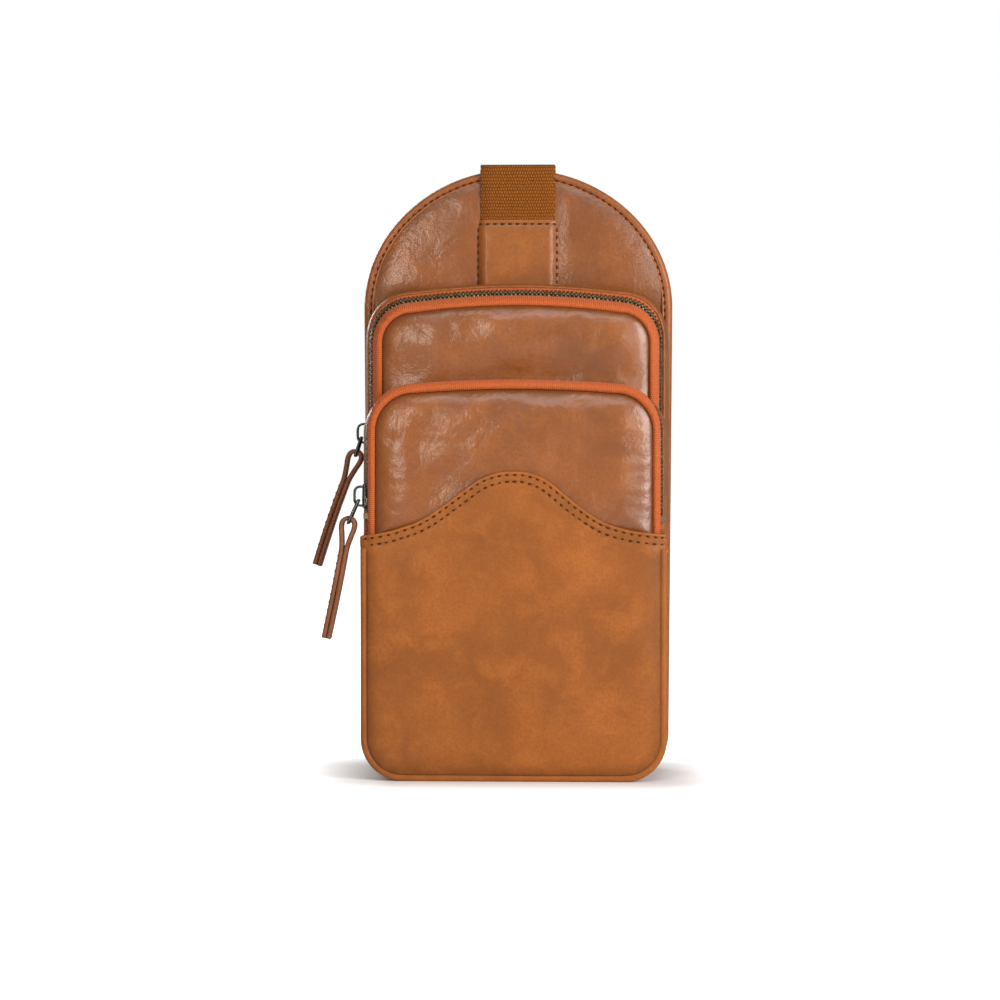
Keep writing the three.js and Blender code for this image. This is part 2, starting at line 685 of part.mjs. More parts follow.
// The doubled strap's middle, from the adjuster down to the ring, with its spare length folded
// behind the bag.
const doubled = new THREE.Path();
const floorMiddle = half + 0.1 + STRAP_PLY;
const turnRadius = 8;
doubled.moveTo(middleY, ADJUSTER.z - 8);
doubled.lineTo(middleY, 110);
const landingY = BACK_FACE_Y + 65;
doubled.bezierCurveTo(middleY, 52, middleY + 11, 7.5, landingY, floorMiddle + 4.5);
const spareZ = 2 * turnRadius + floorMiddle;
doubled.bezierCurveTo(landingY + 15, floorMiddle + 4.5, STRAP_REACH - 14, spareZ, STRAP_REACH, spareZ);
doubled.absarc(STRAP_REACH, floorMiddle + turnRadius, turnRadius, Math.PI / 2, -Math.PI / 2, true);
doubled.lineTo(RING.outerY + 20, floorMiddle);
const middle = doubled.getPoints(10);
const outerPly = offsetLine(middle, STRAP_PLY);
const innerPly = offsetLine(middle, -STRAP_PLY);

const strapRun = new THREE.Path();
strapRun.moveTo(strapFrontY, WEBBING.foot);
strapRun.lineTo(strapFrontY, strapTopZ - foldRadius);
strapRun.absarc(strapFrontY + foldRadius, strapTopZ - foldRadius, foldRadius, Math.PI, Math.PI / 2, true);
strapRun.lineTo(strapRearY - foldRadius, strapTopZ);
strapRun.absarc(strapRearY - foldRadius, strapTopZ - foldRadius, foldRadius, Math.PI / 2, 0, true);
const [outerStart] = outerPly;
strapRun.bezierCurveTo(
  strapRearY,
  strapTopZ - 18.2,
  outerStart.x,
  strapTopZ - 23.2,
  outerStart.x,
  strapTopZ - 38.2,
);
const wrap = RING.bar + GAP + half;
const ringTurn = new THREE.Path();
const outerEnd = outerPly.at(-1);
const innerEnd = innerPly.at(-1);
ringTurn.moveTo(outerEnd.x, outerEnd.y);
ringTurn.bezierCurveTo(
  RING.outerY + 14,
  outerEnd.y,
  RING.outerY + 6,
  RING.outerZ - wrap,
  RING.outerY,
  RING.outerZ - wrap,
);
ringTurn.absarc(RING.outerY, RING.outerZ, wrap, -Math.PI / 2, -1.5 * Math.PI, true);
ringTurn.bezierCurveTo(
  RING.outerY + 6,
  RING.outerZ + wrap,
  RING.outerY + 14,
  innerEnd.y,
  innerEnd.x,
  innerEnd.y,
);
const strapLine = [
  ...strapRun.getPoints(6),
  ...outerPly,
  ...ringTurn.getPoints(5).slice(1, -1),
  ...innerPly.reverse(),
];
piece("strap_webbing", sideProfile(ribbon(strapLine, WEBBING.thickness), WEBBING.width), webbingCloth);

// The patch that holds the strap's end on the front of the arch, hollow behind for the webbing.
function roundedTop({ bottom, height, sideMargin, corner }) {
  const side = WEBBING.width / 2 + sideMargin;
  const top = bottom + height;
  const shape = new THREE.Shape();
  shape.moveTo(-side, bottom);
  shape.lineTo(side, bottom);
  shape.lineTo(side, top - corner);
  shape.absarc(side - corner, top - corner, corner, 0, Math.PI / 2);
  shape.lineTo(corner - side, top);
  shape.absarc(corner - side, top - corner, corner, Math.PI / 2, Math.PI);
  return shape;
}
const patchInside = strapFrontY - half - GAP;
const patchBlank = slab(roundedTop(PATCH), MAIN_BACK_Y - GAP, patchInside - PATCH.skin);
const strapSlot = block(
  -WEBBING.width / 2 - GAP,
  WEBBING.width / 2 + GAP,
  patchInside,
  MAIN_BACK_Y,
  WEBBING.foot - GAP,
  PATCH.bottom + PATCH.height + 5,
);
piece("strap_patch", cut(patchBlank, strapSlot), smoothLeather);

// Adjuster: a three-bar slide on the outer ply, with the webbing that passes over its middle bar.
const outerFaceY = outerPly[0].x + half;
const crossPly = 1.6;
const barY = outerFaceY + GAP + crossPly + GAP + ADJUSTER.bar;
const slotHalf = WEBBING.width / 2 + ADJUSTER.clearance;
const frameSide = (x) =>
  block(
    x - ADJUSTER.sideBar / 2,
    x + ADJUSTER.sideBar / 2,
    barY - ADJUSTER.bar,
    barY + ADJUSTER.bar,
    ADJUSTER.z - ADJUSTER.height / 2,
    ADJUSTER.z + ADJUSTER.height / 2,
  );
const crossBar = (z) =>
  new THREE.CylinderGeometry(ADJUSTER.bar, ADJUSTER.bar, 2 * slotHalf + ADJUSTER.sideBar, 10)
    .rotateZ(Math.PI / 2)
    .translate(0, barY, z);
const endBar = ADJUSTER.height / 2 - ADJUSTER.bar;
const sideX = slotHalf + ADJUSTER.sideBar / 2;
piece(
  "strap_adjuster",
  join(
    frameSide(-sideX),
    frameSide(sideX),
    crossBar(ADJUSTER.z - endBar),
    crossBar(ADJUSTER.z),
    crossBar(ADJUSTER.z + endBar),
  ),
  gunmetal,
);
const overBar = new THREE.Path();
const tucked = outerFaceY + GAP + crossPly / 2;
const crest = barY + ADJUSTER.bar + GAP + crossPly / 2;
overBar.moveTo(tucked, ADJUSTER.z - endBar - 4);
overBar.bezierCurveTo(tucked, ADJUSTER.z - 5, crest, ADJUSTER.z - 9, crest, ADJUSTER.z);
overBar.bezierCurveTo(crest, ADJUSTER.z + 9, tucked, ADJUSTER.z + 5, tucked, ADJUSTER.z + endBar + 4);
piece("strap_over_bar", sideProfile(ribbon(overBar.getPoints(6), crossPly), WEBBING.width), webbingCloth);

// Ring at the foot of the back panel, held by a leather tab.
const ringSlope = Math.atan2(RING.outerZ - RING.innerZ, RING.outerY - RING.innerY);
const ringBar = (y, z) =>
  new THREE.CylinderGeometry(RING.bar, RING.bar, 2 * slotHalf + 2 * RING.bar, 12)
    .rotateZ(Math.PI / 2)
    .translate(0, y, z);
const ringReach = Math.hypot(RING.outerY - RING.innerY, RING.outerZ - RING.innerZ);
const ringSide = (x) =>
  new THREE.CylinderGeometry(RING.bar, RING.bar, ringReach + 1.2 * RING.bar, 12)
    .rotateX(ringSlope)
    .translate(x, (RING.innerY + RING.outerY) / 2, (RING.innerZ + RING.outerZ) / 2);
const ringSideX = slotHalf + RING.bar;
piece(
  "strap_ring",
  join(
    ringBar(RING.innerY, RING.innerZ),
    ringBar(RING.outerY, RING.outerZ),
    ringSide(-ringSideX),
    ringSide(ringSideX),
  ),
  gunmetal,
);
const tabY = bindingBack + GAP + LEATHER / 2;
const tabWrap = RING.bar + GAP + LEATHER / 2;
const tabRun = new THREE.Path();
tabRun.moveTo(tabY, RING_TAB.top);
tabRun.bezierCurveTo(tabY, 20, tabY, RING.innerZ - tabWrap, RING.innerY, RING.innerZ - tabWrap);
tabRun.absarc(RING.innerY, RING.innerZ, tabWrap, -Math.PI / 2, Math.PI / 2);
const tabRearY = tabY + LEATHER + GAP; // the ply that lies on the first
tabRun.bezierCurveTo(RING.innerY - 3, RING.innerZ + tabWrap, tabRearY, 16, tabRearY, RING_TAB.top - 4);
piece("ring_tab", sideProfile(ribbon(tabRun.getPoints(6), LEATHER), RING_TAB.width), smoothLeather);

export default bag;
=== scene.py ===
"""Leather sling bag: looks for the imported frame. An add-on whose operators each make one piece or group."""
import json
import math

import bpy
import numpy as np
from bpy.props import FloatProperty, FloatVectorProperty, IntProperty, PointerProperty
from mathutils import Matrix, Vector, geometry, noise

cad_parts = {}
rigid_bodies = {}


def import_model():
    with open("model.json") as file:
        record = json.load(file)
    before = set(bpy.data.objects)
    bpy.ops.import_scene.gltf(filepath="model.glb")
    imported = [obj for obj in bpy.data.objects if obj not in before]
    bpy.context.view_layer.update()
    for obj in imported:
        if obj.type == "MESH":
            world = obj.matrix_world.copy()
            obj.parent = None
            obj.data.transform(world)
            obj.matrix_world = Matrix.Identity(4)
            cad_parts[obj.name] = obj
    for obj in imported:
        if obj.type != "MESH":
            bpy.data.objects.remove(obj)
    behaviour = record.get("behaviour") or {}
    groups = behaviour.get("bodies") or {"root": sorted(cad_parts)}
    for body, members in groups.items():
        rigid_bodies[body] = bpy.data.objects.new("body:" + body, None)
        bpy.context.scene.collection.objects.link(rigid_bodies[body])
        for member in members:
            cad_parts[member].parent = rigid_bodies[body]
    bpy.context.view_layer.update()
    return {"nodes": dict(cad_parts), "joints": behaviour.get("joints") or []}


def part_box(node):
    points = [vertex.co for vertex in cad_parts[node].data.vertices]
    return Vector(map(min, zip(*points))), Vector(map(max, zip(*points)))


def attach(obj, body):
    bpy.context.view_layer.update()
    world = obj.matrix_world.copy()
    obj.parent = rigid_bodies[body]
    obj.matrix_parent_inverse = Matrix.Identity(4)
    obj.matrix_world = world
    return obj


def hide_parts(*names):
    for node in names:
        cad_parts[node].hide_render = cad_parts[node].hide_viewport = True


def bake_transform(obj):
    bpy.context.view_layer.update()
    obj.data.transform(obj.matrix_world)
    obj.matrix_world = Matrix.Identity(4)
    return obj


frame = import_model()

bl_info = {
    "name": "Leather sling bag",
    "version": (1, 0, 0),
    "blender": (4, 5, 0),
    "location": "View3D > Sidebar > Sling bag",
    "description": "Makes the leather, zips, stitches, strap and stage of a sling bag",
    "category": "Object",
}


# ---- sizes, in millimetres, from the frame -------------------------------------------------------
def box(node):
    low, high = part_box(node)
    return np.array(low) * 1000, np.array(high) * 1000


def joint(name):
    return next(j for j in frame["joints"] if j["name"] == name)


X, Y, Z = 0, 1, 2
back_skin, main_panel, pocket_panel = box("back_panel_front_skin"), box("main_panel_upper"), box(
    "front_panel_upper"
)
lower_gusset, pocket_gusset = box("main_gusset_lower"), box("front_gusset_lower")
FOLD = joint("main_flap_fold")["pos_m"][2] * 1000
POCKET_FOLD = joint("pocket_flap_fold")["pos_m"][2] * 1000
FRONT_Y = box("front_panel_lower")[0][Y]
BACK_Y = back_skin[0][Y]  # the face of the back panel that the compartments are sewn to
REAR_Y = box("back_panel_rear_skin")[1][Y]
BOX_W = lower_gusset[1][X]
POCKET_W = pocket_gusset[1][X]
BOX_CORNER = 21.0  # the compartments' lower corners
ARCH_CORNER = 21.0  # the back panel's lower corners
ARCH_SPRING = 236.0  # height at which the back panel's straight sides turn into its arch
ARCH_FOOT_INSET = 1.5  # how much narrower the back panel is at its foot
MAIN_TAPER, POCKET_TAPER = 1.8, 1.1  # how far the leather draws each zip in from the frame's straight sides
POCKET_SKIN_FOOT, POCKET_TAPE_FOOT = 119.0, 121.0  # where the pocket's skin and its front tape end
HIDE, CLOTH = 1.5, 0.6  # thickness of a leather skin and of the lining
WEBBING = 1.7  # thickness of the webbing
PAD_SEAM = 15  # from the edge of the back padding to its channel of stitches
STITCH_SHARE = 0.56  # length of a stitch as a share of its pitch
TOOTH_REACH = 0.8  # from the middle of the closed chain to the middle of a tooth
SELVEDGE_PITCH = 1.7  # distance between the small loops at the webbing's edges
MAIN = dict(half=main_panel[1][X], top=main_panel[1][Z], corner=15.0, crown=3.5)
POCKET = dict(half=pocket_panel[1][X], top=pocket_panel[1][Z], corner=19.0, crown=2.0)
MAIN_SURFACE = (box("main_zip_teeth_rear")[1][X] + box("main_zip_bottom_stop")[0][X]) / 2 - MAIN["half"]
POCKET_SURFACE = (box("pocket_zip_teeth_rear")[1][X] + box("pocket_zip_bottom_stop")[0][X]) / 2
POCKET_SURFACE -= POCKET["half"]
MAIN_SLOT = (box("main_zip_teeth_front")[1][Y] + box("main_zip_teeth_rear")[0][Y]) / 2
POCKET_SLOT = (box("pocket_zip_teeth_front")[1][Y] + box("pocket_zip_teeth_rear")[0][Y]) / 2
MAIN_CHAIN = (box("main_zip_top_stop_rear")[1][Z] + 0.3, box("main_zip_bottom_stop")[1][Z] + 0.3)
POCKET_CHAIN = (box("pocket_zip_top_stop_rear")[1][Z] + 0.3, box("pocket_zip_bottom_stop")[1][Z] + 0.3)
WEB_WIDTH = box("strap_webbing")[1][X] * 2
ADJUSTER = box("strap_adjuster")
ADJUSTER_Z = (ADJUSTER[0][Z] + ADJUSTER[1][Z]) / 2
RING_WIRE = 1.6  # radius of the ring's wire
RING = (box("strap_ring")[1][Y] - RING_WIRE, box("strap_ring")[0][Z] + RING_WIRE)  # y and z of its outer bar


# ---- settings ------------------------------------------------------------------------------------
def rgb(text):
    """A hex colour as three shares of red, green and blue, as a screen shows them."""
    return tuple(int(text[i : i + 2], 16) / 255 for i in (1, 3, 5))


def colour_property(name, description, default):
    return FloatVectorProperty(
        name=name, description=description, subtype="COLOR_GAMMA", size=3, min=0.0, max=1.0,
        default=rgb(default),
    )


def length_property(name, description, default):
    return FloatProperty(name=name, description=description, unit="LENGTH", min=0.0001, default=default)


class LeatherSettings(bpy.types.PropertyGroup):
    glazed: colour_property("Glazed", "Colour of the smooth glazed leather", "#8A4A10")
    waxed: colour_property("Waxed", "Colour of the matte waxed leather", "#9B5820")
    edge: colour_property("Edge", "Colour of turned and cut leather edges", "#935222")
    grain: length_property("Grain", "Size of the leather's pores", 0.0009)
    creases: length_property("Creases", "Size of the leather's soft creases", 0.014)


class ZipSettings(bpy.types.PropertyGroup):
    tape: colour_property("Tape", "Colour of the zip tape", "#C86434")
    tooth_pitch: length_property("Tooth pitch", "Distance between teeth of one row", 0.0021)
    puckers: FloatProperty(
        name="Puckers", description="How much the front tape puckers at the corners",
        subtype="FACTOR", min=0.0, max=2.0, default=1.0,
    )


class SeamSettings(bpy.types.PropertyGroup):
    thread: colour_property("Thread", "Colour of the stitches", "#583014")
    pitch: length_property("Pitch", "Distance between stitches", 0.0037)
    thickness: length_property("Thread width", "Thickness of the thread", 0.0008)
    seed: IntProperty(
        name="Seed", description="Seed for the small differences between stitches", min=0, default=7
    )


class StrapSettings(bpy.types.PropertyGroup):
    webbing: colour_property("Webbing", "Colour of the webbing", "#915218")
    rib: length_property("Rib", "Width of one rib of the weave", 0.0013)


def leather():
    return bpy.context.scene.bag_leather


def zips():
    return bpy.context.scene.bag_zips


def seams():
    return bpy.context.scene.bag_seams


def strap():
    return bpy.context.scene.bag_strap


# ---- materials -----------------------------------------------------------------------------------
def srgb(shown, value=1.0):
    """A shown colour as linear RGBA, made lighter or darker by value."""
    linear = [p / 12.92 if p <= 0.04045 else ((p + 0.055) / 1.055) ** 2.4 for p in shown]
    return tuple(min(1.0, c * value) for c in linear) + (1.0,)


def add(tree, kind, links=None, values=None, **settings):
    """Adds a node. links maps inputs to output sockets, and values maps inputs to constants."""
    node = tree.nodes.new(kind)
    for key, value in settings.items():
        setattr(node, key, value)
    for key, value in (values or {}).items():
        node.inputs[key].default_value = value
    for key, socket in (links or {}).items():
        tree.links.new(socket, node.inputs[key])
    return node


def mix_colour(tree, factor, a, b, blend="MIX"):
    """Mixes two colours, each a socket or a constant, by a socket or constant factor."""
    node = add(tree, "ShaderNodeMix", data_type="RGBA", blend_type=blend)
    for index, item in ((0, factor), (6, a), (7, b)):
        if isinstance(item, bpy.types.NodeSocket):
            tree.links.new(item, node.inputs[index])
        else:
            node.inputs[index].default_value = item
    return node.outputs[2]


def ramp(tree, socket, low, high, to_low=0.0, to_high=1.0, smooth=True):
    kind = "SMOOTHSTEP" if smooth else "LINEAR"
    node = add(tree, "ShaderNodeMapRange", {"Value": socket}, interpolation_type=kind)
    for key, value in (("From Min", low), ("From Max", high), ("To Min", to_low), ("To Max", to_high)):
        node.inputs[key].default_value = value
    return node.outputs["Result"]


def maths(tree, operation, a, b=0.0, c=0.0):
    node = add(tree, "ShaderNodeMath", operation=operation)
    for index, item in enumerate((a, b, c)):
        if isinstance(item, bpy.types.NodeSocket):
            tree.links.new(item, node.inputs[index])
        else:
            node.inputs[index].default_value = item
    return node.outputs[0]


def new_material(name):
    material = bpy.data.materials.new(name)
    material.use_nodes = True
    tree = material.node_tree
    tree.nodes.clear()
    output = add(tree, "ShaderNodeOutputMaterial")
    bsdf = add(tree, "ShaderNodeBsdfPrincipled")
    tree.links.new(bsdf.outputs[0], output.inputs["Surface"])
    return material, tree, bsdf


def noise_at(tree, spot, size_mm, detail=3.0, roughness=0.55, distortion=0.0):
    values = {"Scale": 1000.0 / size_mm, "Detail": detail, "Roughness": roughness, "Distortion": distortion}
    return add(tree, "ShaderNodeTexNoise", {"Vector": spot}, values).outputs["Fac"]


def bump(tree, height, distance_mm, strength=1.0, under=None):
    links = {"Height": height}
    if under is not None:
        links["Normal"] = under
    values = {"Distance": distance_mm / 1000.0, "Strength": strength}
    return add(tree, "ShaderNodeBump", links, values).outputs["Normal"]


def leather_material(name, colour, glaze, grain=1.0, shade=1.0):
    """Tanned leather. glaze runs from 0, waxed and matte, to 1, glazed, with a clear top coat."""
    material, tree, bsdf = new_material(name)
    spot = add(tree, "ShaderNodeTexCoord").outputs["Object"]
    clouds = noise_at(tree, spot, 46, 2.0)
    blotches = noise_at(tree, spot, leather().creases * 1000, 4.0, 0.6, 0.4)
    fine = noise_at(tree, spot, 1.5, 4.0, 0.7)
    base = srgb(colour, shade)
    colour_out = mix_colour(tree, ramp(tree, clouds, 0.34, 0.66), srgb(colour, 0.74 * shade), base)
    pull_up = ramp(tree, blotches, 0.40, 0.72, 0.0, 0.6)
    light = tuple(min(1, c * k) for c, k in zip(base[:3], (1.25, 1.3, 1.5))) + (1.0,)
    colour_out = mix_colour(tree, pull_up, colour_out, light)
    colour_out = mix_colour(
        tree, ramp(tree, fine, 0.38, 0.68, 0.0, 0.42), colour_out, srgb(colour, 0.58 * shade)
    )
    # The seam mark darkens the leather at joins, stitch rows and channels. Part of this is the leather's own
    # darker, burnished seams, and part is painted shade in the grooves and under the laps.
    seam = add(tree, "ShaderNodeAttribute", attribute_name="seam").outputs["Fac"]
    seam_tone_and_shade = maths(tree, "MULTIPLY", seam, ramp(tree, noise_at(tree, spot, 7, 3.0), 0.25, 0.6, 0.55, 1.0))
    colour_out = mix_colour(
        tree, maths(tree, "MULTIPLY", seam_tone_and_shade, 0.72), colour_out, srgb(colour, 0.36 * shade)
    )
    wear = add(tree, "ShaderNodeAttribute", attribute_name="wear").outputs["Fac"]
    worn = maths(
        tree, "MULTIPLY", wear, ramp(tree, noise_at(tree, spot, 3.4, 4.0, 0.7), 0.35, 0.65, 0.2, 0.6)
    )
    colour_out = mix_colour(
        tree, worn, colour_out, tuple(min(1, c * 1.35 + 0.008) for c in base[:3]) + (1.0,)
    )
    tree.links.new(colour_out, bsdf.inputs["Base Color"])

    rough = ramp(tree, blotches, 0.3, 0.7, 0.6 - 0.16 * glaze, 0.74 - 0.2 * glaze)
    tree.links.new(rough, bsdf.inputs["Roughness"])
    bsdf.inputs["Specular IOR Level"].default_value = 0.2
    bsdf.inputs["Coat Weight"].default_value = glaze
    bsdf.inputs["Coat Roughness"].default_value = 0.27
    pores = add(
        tree, "ShaderNodeTexVoronoi", {"Vector": spot},
        {"Scale": 1.0 / leather().grain, "Randomness": 1.0, "Detail": 1.0}, feature="F1",
    ).outputs["Distance"]
    normal = bump(tree, blotches, 0.55, 0.5)
    normal = bump(tree, noise_at(tree, spot, 4.5, 5.0, 0.6, 0.8), 0.16, 0.55 * grain, normal)
    normal = bump(tree, pores, 0.05, (0.55 - 0.25 * glaze) * grain, normal)
    tree.links.new(normal, bsdf.inputs["Normal"])
    dimples = noise_at(tree, spot, 3.2, 4.0, 0.6)
    tree.links.new(bump(tree, dimples, 0.12, 0.5, bump(tree, blotches, 1.2, 0.6)), bsdf.inputs["Coat Normal"])
    return material


def woven(tree, across, along, twill):
    """Height of a weave at across and along, both in threads. Each row is shifted by twill from the last."""
    shifted = maths(tree, "ADD", across, maths(tree, "MULTIPLY", maths(tree, "FLOOR", along), twill))
    ribs = maths(tree, "ABSOLUTE", maths(tree, "SINE", maths(tree, "MULTIPLY", shifted, math.pi)))
    rows = maths(tree, "ABSOLUTE", maths(tree, "SINE", maths(tree, "MULTIPLY", along, math.pi)))
    return maths(tree, "MULTIPLY", maths(tree, "POWER", ribs, 0.9), maths(tree, "POWER", rows, 0.8))


def cloth_material(name, colour, rib_mm, row_mm, twill, depth_mm, contrast=0.5, sheen=0.25):
    """Woven cloth, laid along the piece's UV, which is in millimetres: u across the warp, v along it."""
    material, tree, bsdf = new_material(name)
    spot = add(tree, "ShaderNodeTexCoord").outputs["Object"]
    uv = add(tree, "ShaderNodeSeparateXYZ", {0: add(tree, "ShaderNodeTexCoord").outputs["UV"]})
    wobble = maths(tree, "MULTIPLY", maths(tree, "SUBTRACT", noise_at(tree, spot, 6, 2.0), 0.5), 0.6)
    across = maths(tree, "ADD", maths(tree, "DIVIDE", uv.outputs[0], rib_mm), wobble)
    along = maths(tree, "ADD", maths(tree, "DIVIDE", uv.outputs[1], row_mm), wobble)
    weave = woven(tree, across, along, twill)
    fuzz_and_glints = noise_at(tree, spot, 0.35, 2.0, 0.7)
    cloud = noise_at(tree, spot, 9, 3.0)
    # The weave's hollows are painted darker and its raised threads lighter. This is partly the yarn's own
    # tone, and partly painted shade between the threads and painted highlights on them; contrast sets how
    # dark the hollows go. The fuzz flecks are partly lighter loose fibres and partly painted glints.
    colour_out = mix_colour(tree, weave, srgb(colour, 1 - contrast), srgb(colour, 1.12))
    colour_out = mix_colour(tree, ramp(tree, fuzz_and_glints, 0.4, 0.8, 0.0, 0.35), colour_out, srgb(colour, 1.5))
    colour_out = mix_colour(tree, ramp(tree, cloud, 0.35, 0.7, 0.0, 0.35), colour_out, srgb(colour, 0.72))
    tree.links.new(colour_out, bsdf.inputs["Base Color"])
    bsdf.inputs["Roughness"].default_value = 0.82
    bsdf.inputs["Specular IOR Level"].default_value = 0.12
    bsdf.inputs["Sheen Weight"].default_value = sheen
    bsdf.inputs["Sheen Roughness"].default_value = 0.45
    normal = bump(tree, weave, depth_mm, 0.9)
    normal = bump(tree, fuzz_and_glints, 0.06, 0.5, normal)
    tree.links.new(normal, bsdf.inputs["Normal"])
    return material


def metal_material(name, colour, roughness, dark, tarnish=0.5):
    """Plated metal with tarnish in its hollows and fine scratches."""
    material, tree, bsdf = new_material(name)
    spot = add(tree, "ShaderNodeTexCoord").outputs["Object"]
    spots = noise_at(tree, spot, 2.4, 4.0, 0.65)
    scratches = noise_at(tree, spot, 0.5, 2.0, 0.6, 2.0)
    colour_out = mix_colour(tree, ramp(tree, spots, 0.35, 0.7, 0.0, tarnish), srgb(colour), srgb(dark))
    tree.links.new(colour_out, bsdf.inputs["Base Color"])
    bsdf.inputs["Metallic"].default_value = 1.0
    tree.links.new(ramp(tree, spots, 0.3, 0.75, roughness, roughness + 0.2), bsdf.inputs["Roughness"])
    tree.links.new(bump(tree, scratches, 0.02, 0.35), bsdf.inputs["Normal"])
    return material


def plain_material(name, colour, roughness, size_mm, depth_mm, contrast=0.3):
    """A matt moulded or foamed stuff with a fine uneven surface."""
    material, tree, bsdf = new_material(name)
    spot = add(tree, "ShaderNodeTexCoord").outputs["Object"]
    spots = noise_at(tree, spot, size_mm, 4.0, 0.6)
    colour_out = mix_colour(tree, ramp(tree, spots, 0.3, 0.7), srgb(colour, 1 - contrast), srgb(colour))
    tree.links.new(colour_out, bsdf.inputs["Base Color"])
    bsdf.inputs["Roughness"].default_value = roughness
    tree.links.new(bump(tree, spots, depth_mm, 0.6), bsdf.inputs["Normal"])
    return material


MATERIALS = {}


def material(key):
    """Each finish of the real bag, made once."""
    if key not in MATERIALS:
        l, z, s, w = leather(), zips(), seams(), strap()
        MATERIALS[key] = {
            # pull-up cowhide with a glazed top coat
            "glazed": lambda: leather_material("Glazed tan cowhide", l.glazed, 1.0),
            # the same hide, waxed and brushed
            "waxed": lambda: leather_material("Waxed tan cowhide", l.waxed, 0.15, 1.15),
            # the hide used for gussets and binding, between the two in gloss
            "band": lambda: leather_material("Semi-glazed tan cowhide", l.waxed, 0.4, 0.9, 0.9),
            # turned and burnished edges
            "edge": lambda: leather_material("Burnished leather edge", l.edge, 0.45, 0.8),
            # the pulls' darker hide
            "pull": lambda: leather_material("Dark tan cowhide", rgb("#7C4A2C"), 0.4, 0.9),
            # orange polyester twill tape
            "tape": lambda: cloth_material("Orange zip tape", z.tape, 0.95, 1.0, 0.5, 0.2, 0.5, 0.1),
            # golden-brown cotton webbing
            "webbing": lambda: cloth_material(
                "Golden brown webbing", w.webbing, w.rib * 1000, 1.65, 0.5, 0.5, 0.64, 0.05
            ),
            # dark twill lining
            "lining": lambda: cloth_material("Brown twill lining", rgb("#4B3826"), 0.7, 0.55, 0.5, 0.08, 0.3),
            # tarnished antique brass
            "teeth": lambda: metal_material("Antique brass", rgb("#8A7A5E"), 0.36, rgb("#3E3022"), 0.8),
            # polished gunmetal plating
            "gunmetal": lambda: metal_material("Gunmetal plate", rgb("#5C6058"), 0.2, rgb("#23251F"), 0.45),
            # bonded polyester thread
            "thread": lambda: cloth_material("Dark brown thread", s.thread, 0.3, 0.3, 0.7, 0.05, 0.4, 0.0),
            # grey padding foam
            "foam": lambda: plain_material("Padding foam", rgb("#55524C"), 0.95, 1.2, 0.3),
            # fibre stiffening board
            "board": lambda: plain_material("Fibre board", rgb("#6F6250"), 0.85, 1.6, 0.1),
        }[key]()
    return MATERIALS[key]


# ---- lines and marks -----------------------------------------------------------------------------
def running(line):
    """Length along a line at each of its points."""
    return np.r_[0, np.cumsum(np.linalg.norm(np.diff(line, axis=0), axis=1))]


def unit(vectors):
    return vectors / np.linalg.norm(vectors, axis=1, keepdims=True)


def columns_at(at, s, values):
    """Each column of values, given at the lengths s, read off at other lengths."""
    return np.stack([np.interp(at, s, column) for column in values.T], 1)


def bell(distance, width):
    """A mark that is 1 at no distance and fades over its width."""
    return np.exp(-((distance / width) ** 2))


def ease(x):
    x = np.clip(x, 0, 1)
    return x * x * (3 - 2 * x)


# ---- mesh building -------------------------------------------------------------------------------
def build(name, verts, faces, key, uv=None, marks=None):
    """A mesh object from points in mm. uv is one pair for each corner, marks a dict of point attributes."""
    mesh = bpy.data.meshes.new(name)
    mesh.from_pydata([tuple(v) for v in np.asarray(verts, float) * 0.001], [], [tuple(f) for f in faces])
    if uv is not None:
        layer = mesh.uv_layers.new(name="UVMap")
        layer.data.foreach_set("uv", np.asarray(uv, np.float32).ravel())
    for mark, values in (marks or {}).items():
        attribute = mesh.attributes.new(mark, "FLOAT", "POINT")
        attribute.data.foreach_set("value", np.asarray(values, np.float32))
    mesh.validate()
    mesh.shade_smooth()
    mesh.materials.append(material(key))
    obj = bpy.data.objects.new(name, mesh)
    bpy.context.scene.collection.objects.link(obj)
    return obj


def place(obj, bodies, replaced=()):
    """Hangs a piece on its body, and hides the CAD nodes that it stands for. A piece given two bodies is only
    baked where it stands and hung on neither.
    """
    if isinstance(bodies, str):
        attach(obj, bodies)
    else:
        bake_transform(obj)
    if replaced:
        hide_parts(*replaced)
    return obj


def refinish(node, key):
    """Gives a CAD node that is shown as it is its real finish."""
    slots = frame["nodes"][node].data.materials
    slots.clear()
    slots.append(material(key))


def loop_grid(points, close_u=False):
    """Faces, corner UVs and flat points of a tube of closed sections. points is (steps, corners, 3)."""
    steps, corners, _ = points.shape
    along = running(points.mean(1))
    middle = points[steps // 2]
    girth = running(np.vstack([middle, middle[:1]]))
    faces, uv = [], []
    lap = np.linalg.norm(points[0].mean(0) - points[-1].mean(0))
    for i in range(steps if close_u else steps - 1):
        j = (i + 1) % steps
        v0, v1 = along[i], along[i] + lap if j == 0 else along[j]
        for k in range(corners):
            m = (k + 1) % corners
            faces.append((i * corners + k, i * corners + m, j * corners + m, j * corners + k))
            uv += [(girth[k], v0), (girth[k + 1], v0), (girth[k + 1], v1), (girth[k], v1)]
    if not close_u:
        first = list(range(corners))
        last = [(steps - 1) * corners + k for k in range(corners)]
        faces += [first[::-1], last]
        uv += [(points[0][k][0] + points[0][k][2], points[0][k][1]) for k in first[::-1]]
        uv += [(points[-1][k][0] + points[-1][k][2], points[-1][k][1]) for k in range(corners)]
    return points.reshape(-1, 3), faces, uv


def fix_normals(obj):
    """Turns a closed mesh's faces outwards, by the sign of its volume."""
    mesh = obj.data
    mesh.calc_loop_triangles()
    co = np.array([v.co for v in mesh.vertices])
    tris = np.array([t.vertices for t in mesh.loop_triangles])
    volume = np.einsum("ij,ij->i", co[tris[:, 0]], np.cross(co[tris[:, 1]], co[tris[:, 2]])).sum()
    if volume < 0:
        mesh.flip_normals()
    return obj


